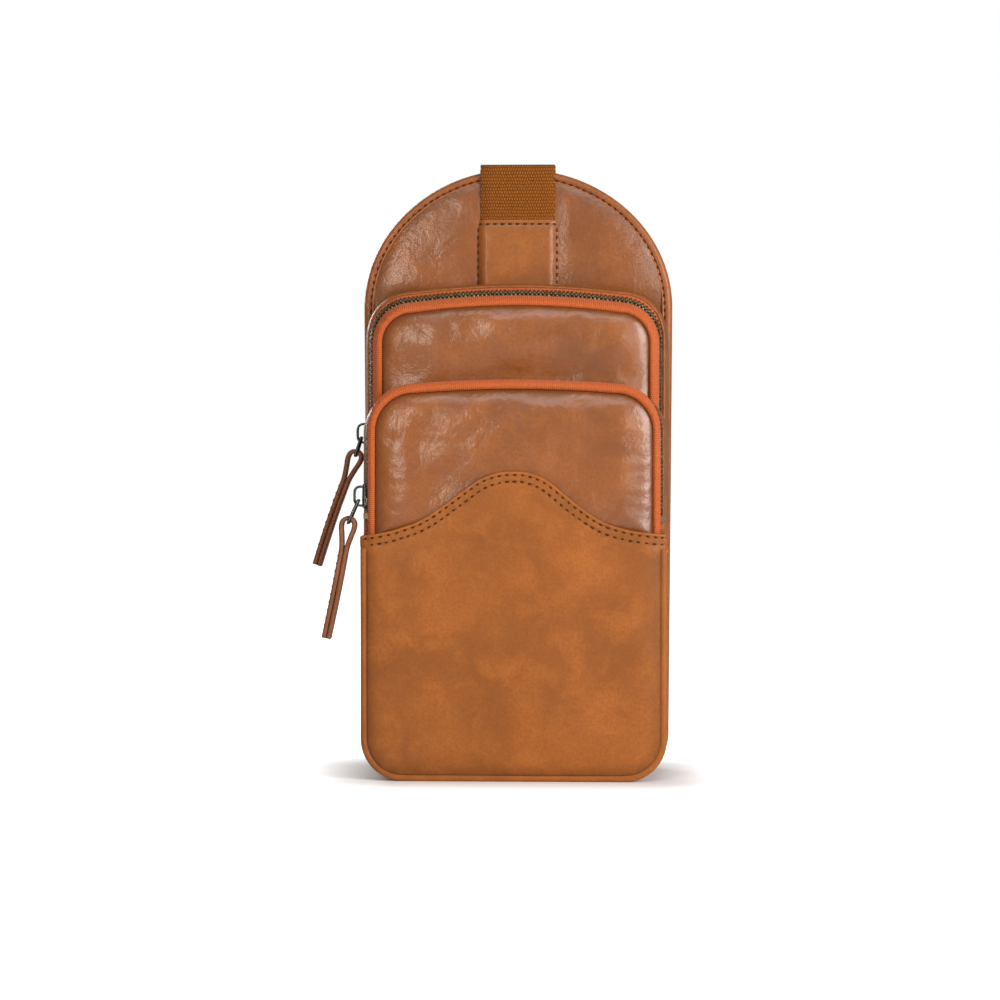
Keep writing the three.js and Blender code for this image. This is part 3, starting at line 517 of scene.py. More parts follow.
class Rim:
    """A front-view curve run clockwise, evenly spaced, whose normals point outwards."""

    def __init__(self, points, closed=False, step=1.2):
        p = np.array(points, float)
        if closed:
            p = np.vstack([p, p[:1]])
        keep = np.r_[True, np.linalg.norm(np.diff(p, axis=0), axis=1) > 1e-6]
        p = p[keep]
        s = running(p)
        count = max(8, int(round(s[-1] / step)))
        self.s = np.linspace(0, s[-1], count + 1)[: count if closed else count + 1]
        self.p = np.c_[np.interp(self.s, s, p[:, 0]), np.interp(self.s, s, p[:, 1])]
        self.closed, self.length = closed, s[-1]
        if closed:
            t = np.roll(self.p, -1, 0) - np.roll(self.p, 1, 0)
        else:
            t = np.gradient(self.p, axis=0)
        for _ in range(3):
            if closed:
                t = (np.roll(t, 1, 0) + 2 * t + np.roll(t, -1, 0)) / 4
            else:
                t[1:-1] = (t[:-2] + 2 * t[1:-1] + t[2:]) / 4
        self.t = unit(t)
        self.n = np.c_[-self.t[:, 1], self.t[:, 0]]

    def at(self, offset):
        return self.p + self.n * np.reshape(offset, (-1, 1))

    def points(self, offsets, ys):
        """(steps, corners, 3) for offsets and ys given as (steps, corners) or (corners,)."""
        offsets = np.broadcast_to(offsets, (len(self.p), np.shape(offsets)[-1]))
        ys = np.broadcast_to(ys, offsets.shape)
        flat = self.p[:, None, :] + self.n[:, None, :] * offsets[:, :, None]
        return np.stack([flat[..., 0], ys, flat[..., 1]], -1)


def arc(cx, cz, radius, start, end, steps=14):
    """Points round part of a circle, from one angle to another in degrees."""
    angles = np.radians(np.linspace(start, end, steps))
    return [(cx + radius * math.cos(a), cz + radius * math.sin(a)) for a in angles]


def rounded(side, low, high, corner):
    """A rounded rectangle from -side to side and low to high, run clockwise."""
    p = []
    for x, z, start in (
        (side - corner, high - corner, 90), (side - corner, low + corner, 0),
        (corner - side, low + corner, -90), (corner - side, high - corner, 180),
    ):
        p += arc(x, z, corner, start, start - 90, 7)
    return looped(p, 1.2)


def hoop(shape, left_foot, right_foot, offset=0.0, step=1.2):
    """The top of a compartment, up from its left foot, over its crown and down to its right foot."""
    half, radius = shape["half"] + offset, shape["corner"] + offset
    shoulder = shape["top"] - shape["crown"] + offset
    centre = shoulder - radius
    p = [(-half, left_foot)] + arc(radius - half, centre, radius, 180, 90)
    left = np.array([radius - half, shoulder])
    peak = np.array([0, shoulder + 2 * shape["crown"]])
    right = np.array([half - radius, shoulder])
    sweep = np.linspace(0, 1, 40)[1:-1]
    p += [tuple((1 - t) ** 2 * left + 2 * t * (1 - t) * peak + t * t * right) for t in sweep]
    p += arc(half - radius, centre, radius, 90, 0) + [(half, right_foot)]
    return Rim(p, step=step)


def trough(half, rim, offset=0.0, step=1.2):
    """The bottom of a compartment, down from its right rim and up to its left rim."""
    half, radius = half + offset, BOX_CORNER + offset
    p = [(half, rim)] + arc(half - radius, radius - offset, radius, 0, -90)
    p += arc(radius - half, radius - offset, radius, -90, -180) + [(-half, rim)]
    return Rim(p, step=step)


def around(shape, half, top_offset, step=1.2):
    """The whole outline of a compartment: over the top of the hoop and under the box."""
    over = hoop(shape, FOLD, FOLD, top_offset, step).p
    under = trough(half, FOLD, 0, step).p
    return Rim(np.vstack([over, under[1:-1]]), closed=True, step=step)


def arch(grow=0.0, step=1.2):
    """The outline of the back panel."""
    low, high = back_skin
    side, foot = high[X] + grow, high[X] - ARCH_FOOT_INSET + grow
    radius, top, base = ARCH_CORNER + grow, high[Z] + grow, low[Z] - grow
    angles = np.radians(np.linspace(180, 0, 90))
    p = [(side * math.cos(a), ARCH_SPRING + (top - ARCH_SPRING) * math.sin(a)) for a in angles]
    p += arc(foot - radius, base + radius, radius, 0, -90)
    p += arc(radius - foot, base + radius, radius, -90, -180)
    return Rim(p, closed=True, step=step)


def ribbon(name, rim, offsets, ys, thick, key, marks=None):
    """A strip along a rim. offsets and ys give its middle line at each step, and its ends are rounded."""
    o = np.array(np.broadcast_to(offsets, (len(rim.p), np.shape(offsets)[-1])), float)
    y = np.array(np.broadcast_to(ys, o.shape), float)
    do, dy = np.gradient(o, axis=1), np.gradient(y, axis=1)
    size = np.hypot(do, dy) + 1e-12
    no, ny = -dy / size, do / size
    h = np.full(o.shape[1], thick / 2)
    h[0] = h[-1] = thick * 0.22
    top_o, top_y, low_o, low_y = o + no * h, y + ny * h, o - no * h, y - ny * h
    loop_o = np.concatenate([top_o, low_o[:, ::-1]], 1)
    loop_y = np.concatenate([top_y, low_y[:, ::-1]], 1)
    verts, faces, uv = loop_grid(rim.points(loop_o, loop_y), rim.closed)
    full = {}
    for mark, values in (marks or {}).items():
        across = np.broadcast_to(values, o.shape)
        full[mark] = np.concatenate([across, across[:, ::-1]], 1).ravel()
    return fix_normals(build(name, verts, faces, key, uv, full))


def inside(points, outline):
    x, z = points[:, 0], points[:, 1]
    hit = np.zeros(len(points), bool)
    a, b = outline, np.roll(outline, -1, 0)
    for (x0, z0), (x1, z1) in zip(a, b):
        crosses = (z0 > z) != (z1 > z)
        if z0 != z1:
            hit ^= crosses & (x < (x1 - x0) * (z - z0) / (z1 - z0) + x0)
    return hit


def distance_to(points, outline, closed=True):
    a = outline
    b = np.roll(outline, -1, 0) if closed else outline[1:]
    a = a if closed else a[:-1]
    best = np.full(len(points), 1e9)
    d = b - a
    size = (d * d).sum(1) + 1e-12
    for start in range(0, len(points), 4000):
        q = points[start : start + 4000]
        t = np.clip(((q[:, None] - a[None]) * d[None]).sum(2) / size, 0, 1)
        near = a[None] + t[..., None] * d[None]
        best[start : start + 4000] = np.linalg.norm(q[:, None] - near, axis=2).min(1)
    return best


def lumps(x, z, size, seed, octaves=2):
    """Smooth noise from -1 to 1 on the front view, at a size in millimetres."""
    out = np.zeros(len(x))
    for i, (a, b) in enumerate(zip(x, z)):
        out[i] = noise.fractal(Vector((a / size, b / size, seed * 7.3)), 1.0, 2.0, octaves)
    return out


def skin(name, outline, face, thick, key, spacing=1.7, marks=None, edge=None):
    """A sheet of leather or cloth with a rounded edge. face(x, z, edge distance) gives the y of its front.
    edge is the whole sheet's outline where this one is cut from a larger sheet."""
    outline = np.array(outline, float)
    edge = outline if edge is None else edge
    rolls = [0.0, 0.25, 0.7, 1.4, 2.4]
    low, high = outline.min(0), outline.max(0)
    gx = np.arange(low[0], high[0], spacing)
    gz = np.arange(low[1], high[1], spacing * 0.866)
    grid = np.array([(x + (spacing / 2 if i % 2 else 0), z) for i, z in enumerate(gz) for x in gx])
    grid = grid[inside(grid, outline)]
    d = distance_to(grid, outline)
    points = [outline]
    t = np.roll(outline, -1, 0) - np.roll(outline, 1, 0)
    t /= np.linalg.norm(t, axis=1, keepdims=True) + 1e-12
    area = (outline[:, 0] * np.roll(outline[:, 1], -1) - np.roll(outline[:, 0], -1) * outline[:, 1]).sum() / 2
    inward = np.c_[-t[:, 1], t[:, 0]] * (1 if area > 0 else -1)
    for roll in rolls[1:]:
        ring = outline + inward * roll
        dist = distance_to(ring, outline)
        dist = np.minimum(dist, distance_to(ring, edge))
        ring = ring[(abs(dist - roll) < 0.06) & inside(ring, outline)]
        points.append(ring)
    points.append(grid[d > rolls[-1] + spacing * 0.6])
    flat = np.vstack(points)
    count = len(outline)
    edges = [(i, (i + 1) % count) for i in range(count)]
    vs, _, fs, *_ = geometry.delaunay_2d_cdt([Vector(p) for p in flat], edges, [], 1, 1e-6)
    flat = np.array([(v.x, v.y) for v in vs])
    fs = [f for f in fs if len(f) == 3]
    centres = flat[np.array(fs)].mean(1)
    fs = [f for f, ok in zip(fs, inside(centres, outline)) if ok]
    used = np.zeros(len(flat), bool)
    used[np.unique(np.array(fs))] = True
    renumber = np.cumsum(used) - 1
    flat = flat[used]
    fs = [tuple(renumber[i] for i in f) for f in fs]
    d = distance_to(flat, edge)
    d[d < 1e-4] = 0
    radius = min(0.8, thick * 0.45)
    drop = np.where(
        d < radius, radius - np.sqrt(np.maximum(0, radius**2 - (radius - np.minimum(d, radius)) ** 2)), 0
    )
    y = face(flat[:, 0], flat[:, 1], d)
    front = np.c_[flat[:, 0], y + drop, flat[:, 1]]
    back = np.c_[flat[:, 0], y + thick, flat[:, 1]]
    n = len(flat)
    tri = np.array(fs)
    a, b, c = flat[tri[:, 0]], flat[tri[:, 1]], flat[tri[:, 2]]
    ccw = ((b - a)[:, 0] * (c - a)[:, 1] - (b - a)[:, 1] * (c - a)[:, 0]) > 0
    tri = np.where(ccw[:, None], tri, tri[:, ::-1])
    directed = {}
    for f in tri:
        for i in range(3):
            directed[(f[i], f[(i + 1) % 3])] = True
    wall = [(i, j) for (i, j) in directed if (j, i) not in directed]
    faces = [tuple(f) for f in tri] + [(f[2] + n, f[1] + n, f[0] + n) for f in tri]
    faces += [(j, i, i + n, j + n) for i, j in wall]
    verts = np.vstack([front, back])
    uv = [(verts[i][0], verts[i][2]) for f in faces for i in f]
    full = {mark: np.tile(values(flat[:, 0], flat[:, 1], d), 2) for mark, values in (marks or {}).items()}
    return build(name, verts, faces, key, uv, full)


def catmull(points, per=8):
    """A smooth curve through 2-D or 3-D points."""
    p = np.array(points, float)
    p = np.vstack([2 * p[0] - p[1], p, 2 * p[-1] - p[-2]])
    out = []
    for i in range(1, len(p) - 2):
        for t in np.linspace(0, 1, per, endpoint=False):
            a, b, c, d = p[i - 1], p[i], p[i + 1], p[i + 2]
            line = 2 * b + (c - a) * t
            out.append(0.5 * (line + (2 * a - 5 * b + 4 * c - d) * t * t + (3 * b - a - 3 * c + d) * t**3))
    return np.array(out + [p[-2]])


def bezier(a, b, c, d, steps=14):
    a, b, c, d = (np.array(p, float) for p in (a, b, c, d))
    t = np.linspace(0, 1, steps)[:, None]
    return (1 - t) ** 3 * a + 3 * t * (1 - t) ** 2 * b + 3 * t * t * (1 - t) * c + t**3 * d


def even(points, step):
    p = np.array(points, float)
    p = p[np.r_[True, np.linalg.norm(np.diff(p, axis=0), axis=1) > 1e-6]]
    s = running(p)
    return columns_at(np.linspace(0, s[-1], max(2, int(round(s[-1] / step)) + 1)), s, p)


def mirrored(points):
    """The points of the other half of a symmetrical outline, run back from the last."""
    return [(-a, b) for a, b in points[::-1]]


def looped(points, step):
    """An even outline from the points of a closed shape, whose first point isn't repeated."""
    return even(np.array(list(points) + [points[0]]), step)[:-1]


def strip(name, line, width, thick, key, across=(1, 0, 0), corner=0.45, wave=0.0):
    """A flat strap along a side-view line of (y, z) points, or any 3-D line with across as its width."""
    line = np.array(line, float)
    if line.shape[1] == 2:
        line = np.c_[np.zeros(len(line)), line]
    wide = np.array(across, float)
    normal = unit(np.cross(wide, unit(np.gradient(line, axis=0))))
    width = np.broadcast_to(width, len(line)) / 2
    s = running(line)
    if wave:
        width = width + wave * np.sin(s * 2 * math.pi / SELVEDGE_PITCH)
    h, r = thick / 2, min(corner, thick * 0.45)
    side = [(-1, -h, r), (-1, -h + r, 0), (-1, h - r, 0), (-1, h, r)]
    inner = np.linspace(-1, 1, 7)[1:-1]
    section = side + [(w, h, 0) for w in inner]
    section += [(-w, -n, i) for w, n, i in side] + [(-w, -h, 0) for w in inner]
    loops = []
    for w, n, inset in section:
        reach = width * w - math.copysign(inset, w) if abs(w) == 1 else width * w
        loops.append(line + wide[None] * np.reshape(reach, (-1, 1)) + normal * n)
    points = np.stack(loops, 1)
    verts, faces, _ = loop_grid(points)
    corners = points.shape[1]
    u = [w * width.mean() + n for w, n, _ in section]
    uv = [(u[i % corners], s[i // corners]) for f in faces for i in f]
    return fix_normals(build(name, verts, faces, key, uv))


def wire(name, line, radius, key, closed=False, sides=10):
    """A round rod along a 3-D line."""
    line = np.array(line, float)
    if closed:
        tangent = np.roll(line, -1, 0) - np.roll(line, 1, 0)
    else:
        tangent = np.gradient(line, axis=0)
    tangent = unit(tangent)
    side = np.array([0.0, 0.0, 1.0]) if abs(tangent[0][2]) < 0.9 else np.array([1.0, 0.0, 0.0])
    normal = np.cross(tangent[0], side)
    normal /= np.linalg.norm(normal)
    rings = []
    for t, p in zip(tangent, line):
        normal = normal - t * normal.dot(t)
        normal /= np.linalg.norm(normal)
        other = np.cross(t, normal)
        turn = np.linspace(0, 2 * math.pi, sides, endpoint=False)
        rings.append(p + radius * (np.cos(turn)[:, None] * normal + np.sin(turn)[:, None] * other))
    if closed:  # meet the first ring without a twist
        gap = [np.linalg.norm(np.roll(rings[0], k, 0) - rings[-1], axis=1).sum() for k in range(sides)]
        shift = int(np.argmin(gap))
        rings = [np.roll(ring, -int(shift * i / (len(rings) - 1)), 0) for i, ring in enumerate(rings)]
    verts, faces, uv = loop_grid(np.array(rings), closed)
    return fix_normals(build(name, verts, faces, key, uv))


def bevelled(outline, low, high, bevel, frame_of):
    """Points and faces of a flat plate with chamfered edges. outline is (a, b), low to high is c."""
    p = np.array(outline, float)
    centre = p.mean(0)
    t = unit(np.roll(p, -1, 0) - np.roll(p, 1, 0))
    area = (p[:, 0] * np.roll(p[:, 1], -1) - np.roll(p[:, 0], -1) * p[:, 1]).sum()
    inward = np.c_[-t[:, 1], t[:, 0]] * (1 if area > 0 else -1)
    round_off = bevel * 0.3
    levels = [
        (low, bevel), (low + round_off, round_off), (low + bevel, 0),
        (high - bevel, 0), (high - round_off, round_off), (high, bevel),
    ]
    verts = []
    n = len(p)
    for c, inset in levels:
        verts += [frame_of(a, b, c) for a, b in p + inward * inset]
    verts += [frame_of(*centre, low), frame_of(*centre, high)]
    faces = []
    for level in range(len(levels) - 1):
        for i in range(n):
            j = (i + 1) % n
            faces.append((level * n + i, level * n + j, (level + 1) * n + j, (level + 1) * n + i))
    top, last = len(verts) - 1, (len(levels) - 1) * n
    faces += [(i, top - 1, (i + 1) % n) for i in range(n)]
    faces += [(last + (i + 1) % n, top, last + i) for i in range(n)]
    return np.array(verts), faces


def joined(name, parts, key):
    """One object from several closed bodies."""
    verts, faces = [], []
    start = 0
    for v, f in parts:
        v = np.asarray(v, float)
        sign = 0.0
        for poly in f:
            for i in range(1, len(poly) - 1):
                sign += float(np.dot(v[poly[0]], np.cross(v[poly[i]], v[poly[i + 1]])))
        f = [tuple(p[::-1]) for p in f] if sign < 0 else f
        verts.append(v)
        faces += [tuple(i + start for i in poly) for poly in f]
        start += len(v)
    return build(name, np.vstack(verts), faces, key)


# ---- repeats made with geometry nodes ------------------------------------------------------------
def repeat_group():
    """Node group that sets one piece on each point, turned to its axes, with small differences."""
    name = "Repeat along a seam"
    if name in bpy.data.node_groups:
        return bpy.data.node_groups[name]
    group = bpy.data.node_groups.new(name, "GeometryNodeTree")
    face = group.interface
    for label, kind in (
        ("Geometry", "NodeSocketGeometry"), ("Piece", "NodeSocketObject"), ("Turn", "NodeSocketFloat"),
        ("Size difference", "NodeSocketFloat"), ("Seed", "NodeSocketInt"), ("Material", "NodeSocketMaterial"),
    ):
        face.new_socket(label, in_out="INPUT", socket_type=kind)
    face.new_socket("Geometry", in_out="OUTPUT", socket_type="NodeSocketGeometry")
    start = add(group, "NodeGroupInput")
    axis = add(group, "GeometryNodeInputNamedAttribute", data_type="FLOAT_VECTOR", values={"Name": "along"})
    up = add(group, "GeometryNodeInputNamedAttribute", data_type="FLOAT_VECTOR", values={"Name": "up"})
    turn = add(
        group, "FunctionNodeAxesToRotation",
        {"Primary Axis": axis.outputs["Attribute"], "Secondary Axis": up.outputs["Attribute"]},
        primary_axis="X", secondary_axis="Z",
    )
    low = maths(group, "MULTIPLY", start.outputs["Turn"], -1.0)
    wobble = add(group, "FunctionNodeRandomValue", data_type="FLOAT")
    group.links.new(low, wobble.inputs[2])
    group.links.new(start.outputs["Turn"], wobble.inputs[3])
    group.links.new(start.outputs["Seed"], wobble.inputs["Seed"])
    spin = add(group, "FunctionNodeAxisAngleToRotation", {"Angle": wobble.outputs[1]}, {"Axis": (0, 0, 1)})
    whole = add(
        group, "FunctionNodeRotateRotation", {"Rotation": turn.outputs[0], "Rotate By": spin.outputs[0]}
    )
    whole.rotation_space = "LOCAL"
    sizes = add(group, "FunctionNodeRandomValue", data_type="FLOAT")
    group.links.new(maths(group, "SUBTRACT", 1.0, start.outputs["Size difference"]), sizes.inputs[2])
    group.links.new(maths(group, "ADD", 1.0, start.outputs["Size difference"]), sizes.inputs[3])
    group.links.new(maths(group, "ADD", start.outputs["Seed"], 1.0), sizes.inputs["Seed"])
    piece = add(group, "GeometryNodeObjectInfo", {"Object": start.outputs["Piece"]})
    dots = add(group, "GeometryNodeMeshToPoints", {"Mesh": start.outputs["Geometry"]})
    copies = add(
        group, "GeometryNodeInstanceOnPoints",
        {
            "Points": dots.outputs[0], "Instance": piece.outputs["Geometry"], "Rotation": whole.outputs[0],
            "Scale": sizes.outputs[1]
        },
    )
    real = add(group, "GeometryNodeRealizeInstances", {"Geometry": copies.outputs[0]})
    painted = add(
        group, "GeometryNodeSetMaterial", {"Geometry": real.outputs[0], "Material": start.outputs["Material"]}
    )
    add(group, "NodeGroupOutput", {"Geometry": painted.outputs[0]})
    return group


def prototype(kind):
    """The mesh that is repeated: a stitch, or a zip tooth pointing along -Y. Its X runs along the seam."""
    name = f"proto_{kind}"
    if name in bpy.data.objects:
        return bpy.data.objects[name]
    if kind == "stitch":
        length = seams().pitch * 1000 * STITCH_SHARE
        r = seams().thickness * 1000 / 2
        sides = 8
        rings = []
        for v in np.linspace(-1, 1, 9):
            lift = (1 - v**2) * 0.36 - 0.16
            turn = np.linspace(0, 2 * math.pi, sides, endpoint=False) + v * 1.1
            thick = r * (0.55 + 0.45 * math.sqrt(max(0, 1 - v**4))) * (1 + 0.13 * np.cos(2 * turn))
            x = np.full(sides, v * length / 2)
            rings.append(np.c_[x, thick * np.cos(turn) * 1.12, lift + thick * np.sin(turn)])
        verts, faces, _ = loop_grid(np.array(rings))
        key = "thread"
    else:
        right = [(0.30, 1.22), (0.58, 0.75), (0.60, 0.15), (0.50, -0.95)]
        outline = [(0, 1.3)] + right + [(0, -1.05)] + mirrored(right)
        verts, faces = bevelled(outline[::-1], -1.0, 1.0, 0.2, lambda a, b, c: (a, -b, c))
        key = "teeth"
    obj = fix_normals(build(name, verts, faces, key))
    obj.hide_render = obj.hide_viewport = True
    return obj


def repeated(name, kind, points, along, up, key, turn=0.0, vary=0.0):
    """One plain mesh holding the copies of a prototype at points in millimetres."""
    mesh = bpy.data.meshes.new(name + "_points")
    mesh.from_pydata([tuple(p) for p in np.asarray(points, float) * 0.001], [], [])
    for label, vectors in (("along", along), ("up", up)):
        attribute = mesh.attributes.new(label, "FLOAT_VECTOR", "POINT")
        attribute.data.foreach_set("vector", np.asarray(vectors, np.float32).ravel())
    holder = bpy.data.objects.new(name + "_points", mesh)
    bpy.context.scene.collection.objects.link(holder)
    proto = prototype(kind)
    proto.hide_viewport = False
    modifier = holder.modifiers.new("Repeat", "NODES")
    modifier.node_group = repeat_group()
    sockets = {i.name: i.identifier for i in modifier.node_group.interface.items_tree if i.in_out == "INPUT"}
    for label, value in (
        ("Piece", proto), ("Turn", turn), ("Size difference", vary),
        ("Seed", seams().seed), ("Material", material(key)),
    ):
        modifier[sockets[label]] = value
    bpy.context.view_layer.update()
    graph = bpy.context.evaluated_depsgraph_get()
    plain = bpy.data.meshes.new_from_object(holder.evaluated_get(graph))
    proto.hide_viewport = True
    holder.modifiers.clear()
    bpy.data.objects.remove(holder)
    if not len(plain.vertices):
        raise RuntimeError(f"{name} came out empty")
    plain.name = name
    plain.shade_smooth()
    obj = bpy.data.objects.new(name, plain)
    bpy.context.scene.collection.objects.link(obj)
    return obj


def stitches(name, line, up):
    """A row of stitches along a 3-D line. up is one direction, or one for each point of the line."""
    line = np.array(line, float)
    s = running(line)
    count = max(1, int(s[-1] / (seams().pitch * 1000)))
    at = (np.arange(count) + 0.5) * s[-1] / count
    points = columns_at(at, s, line)
    along = columns_at(at, s, np.gradient(line, axis=0))
    ups = columns_at(at, s, np.broadcast_to(np.array(up, float), line.shape))
    return repeated(name, "stitch", points, along, ups, "thread", turn=0.09, vary=0.07)


# ---- shared shapes -------------------------------------------------------------------------------
WAVE = catmull([
    (-76.0, 121.6), (-66, 123.0), (-56.5, 125.4), (-44, 130.4), (-31, 139.4), (-17.5, 149.2), (-8, 152.8),
    (0, 153.6), (8, 152.8), (17.5, 148.6), (31, 137.6), (44, 128.9), (56.5, 124.9), (66, 123.4),
    (76.0, 122.4),
], 10)  # the lower skin's stitched upper edge
WAVE_ROWS = (1.8, 5.1)  # the two rows of stitches, from the wave's edge
SPLIT = POCKET_FOLD + 1.5  # where the wave-topped skin is cut between the box and the pocket's flap
BOX_BEND = (FOLD - 11, FOLD + 11)
FLAP_BEND = (SPLIT, SPLIT + 9)
TAB_Z = 114.6  # above this the lower skin turns round over the ends of the piping


def pillow(d, rise, reach):
    """Height of a padded edge that rises steeply and then flattens over its reach."""
    t = np.clip(d / reach, 0, 1)
    return rise * np.sqrt(1 - (1 - t) ** 2)


def belly(x, z):
    """How far the filled front pocket stands forward."""
    height = np.clip((z - 1) / 196, 0, 1)
    return 3.4 * np.clip(1 - (x / 77) ** 2, 0, 1) ** 0.85 * np.sin(height * math.pi) ** 0.55


def overlay_y(x, z, d):
    """Front of the lower skin: bellied, thicker along its stitched upper edge."""
    top = distance_to(np.c_[x, z], WAVE, closed=False)
    side = distance_to(np.c_[x, z], trough(POCKET_W, 150, -3.1, 3.0).p, closed=False)
    y = FRONT_Y - 0.3 - belly(x, z) - pillow(side, 2.2, 12)
    welt = 0.5 * ease(1 - top / 2.6) + 0.3 * bell(top - 3.45, 0.9)
    y = y - welt
    for row in WAVE_ROWS:
        y = y + 0.42 * bell(top - row, 0.5)
    wrap = ease((z - TAB_Z + 1) / 2) * np.clip((abs(x) - 70.5) / 5.5, 0, 1.2) ** 2
    soft = lumps(x, z, 30, 1) * 0.6 + lumps(x, z, 9, 2) * 0.12
    return y + 3.0 * wrap + soft * ease(side / 8) * np.where(top < 14, ease((top - 2) / 12), 1)


def pocket_face(x, z, d):
    """Front of the smooth pocket skin: pillowed, with creases along its sides."""
    y = FRONT_Y + 4.2 - pillow(d, 4.6, 17) - belly(x, z)
    soft = lumps(x, z, 27, 4) * 0.8 + lumps(x, z * 2.2, 9, 5) * 0.16
    crease = np.sin(z * 0.95 + 0.09 * abs(x) + 1.6 * lumps(x, z, 22, 6, 1))
    mask = ease((abs(x) - 48) / 14) * ease((z - 126) / 10) * ease((172 - z) / 14)
    return y + soft * ease(d / 9) + 0.08 * crease * mask * ease(d / 3)


def main_face(x, z, d):
    """Front of the main compartment: pillowed, and fullest just above the front pocket."""
    full = 2.6 * np.clip(1 - (x / 72) ** 2, 0, 1) * ease((z - 200) / 20)
    y = box("main_panel_upper")[0][Y] + 2.4 - pillow(d, 4.6, 18) - full
    soft = lumps(x * 1.5, z, 32, 8) * 1.1 + lumps(x, z, 11, 9) * 0.14
    return y + soft * ease(d / 9) * ease((z - 190) / 12)


def profile(points, per=4):
    """Offsets and ys of a smooth section through (offset, y) points."""
    p = catmull(points, per)
    return p[:, 0], p[:, 1]


def mixed(sections, weights):
    """Blends sections, each (offsets, ys), by weights of one value for each step of a rim."""
    offsets = sum(np.outer(w, s[0]) for s, w in zip(sections, weights))
    ys = sum(np.outer(w, s[1]) for s, w in zip(sections, weights))
    return offsets, ys


def front_points(flat, y):
    return np.c_[flat[:, 0], np.broadcast_to(y, len(flat)), flat[:, 1]]


# ---- back panel ----------------------------------------------------------------------------------
def make_back_panel():
    lap_y = box("back_edge_binding")[0][Y] + 0.5

    def front(x, z, d):
        under_strap = 1 - ease((abs(x) - 19) / 9)
        shown = ease((z - MAIN["top"] - 2) / 14)
        fullness = 0.12 + 0.88 * ease((z - MAIN["top"] + 2) / 14)
        swell = pillow(d, 3.6, 26) * (1 - 0.15 * under_strap) * fullness
        return BACK_Y + 0.2 - swell + lumps(x, z, 34, 11) * 0.5 * shown * ease(d / 10) * (1 - under_strap)

    rim = arch()
    outline = arch(-1.0, 2.0).p
    # seam mark: darker towards the binding. This is partly burnished leather and partly painted shade where
    # the panel sinks under the binding.
    marks = {"seam": lambda x, z, d: bell(d, 6.5) * 0.8}
    front_skin = skin("back_panel_front", outline, front, HIDE, "glazed", spacing=2.6, marks=marks)
    place(front_skin, "bag", ["back_panel_front_skin"])

    def rear(x, z, d):
        channel = bell(d - PAD_SEAM, 1.5)
        return -(REAR_Y - 0.5 + 1.5 * ease(d / 11) - channel + lumps(x, z, 26, 12) * 0.25)

    # seam mark: darker at the edge and along the stitched channel. This is partly burnished leather and
    # partly painted shade in the channel.
    marks = {"seam": lambda x, z, d: bell(d, 5) + 0.5 * bell(d - PAD_SEAM, 1.3)}
    pad = skin("back_pad", outline, rear, 6.0, "band", spacing=2.6, marks=marks)
    for v in pad.data.vertices:
        v.co.y = -v.co.y
    fix_normals(pad)
    place(pad, "bag", ["back_panel_rear_skin", "back_panel_foam"])
    seam_line = Rim(arch(-1.0).at(-PAD_SEAM), closed=True).p
    loop = np.vstack([seam_line, seam_line[:1]])
    place(stitches("back_pad_stitches", front_points(loop, REAR_Y + 0.2), (0, 1, 0)), "bag")

    back_y = box("back_edge_binding")[1][Y] - 0.5
    middle_y = 31  # half-way round the binding
    o, y = profile([
        (-4.6, back_y - 0.3), (-3.2, back_y), (-1.2, back_y - 0.05), (0.6, back_y - 0.8), (1.3, back_y - 2.8),
        (1.4, middle_y), (1.3, lap_y + 2.6), (0.8, lap_y + 0.8), (0.0, lap_y + 0.05), (-1.3, lap_y),
        (-2.1, lap_y + 0.36), (-2.7, lap_y), (-3.1, lap_y + 0.1), (-3.4, lap_y + 0.4), (-3.6, lap_y + 1.0),
    ], 3)
    front_half = y < middle_y
    # seam mark: darker in the stitch groove, partly real and partly painted shade, plus a painted shadow line
    # along the inner edge of the binding's lap.
    seam = (0.8 * bell(o + 2.0, 0.6) + bell(o + 3.6, 0.4)) * front_half
    wear = (0.8 * bell(o + 2.9, 0.3) + bell(o - 0.7, 0.6)) * front_half
    binding = ribbon("back_binding", rim, o, y, 1.0, "edge", {"seam": seam, "wear": wear})
    place(binding, "bag", ["back_edge_binding"])
    run = Rim(rim.at(-2.0), closed=True)
    show = run.p[run.p[:, 1] > FOLD]
    start = int(np.argmin(show[:, 1] + (show[:, 0] > 0) * 500))
    show = np.roll(show, -start, 0)
    place(stitches("binding_stitches", front_points(show, lap_y - 0.3), (0, -1, 0)), "bag")


# ---- main compartment ----------------------------------------------------------------------------
def top_share(rim):
    return ease(np.clip(rim.n[:, 1], 0, 1) * 1.05)


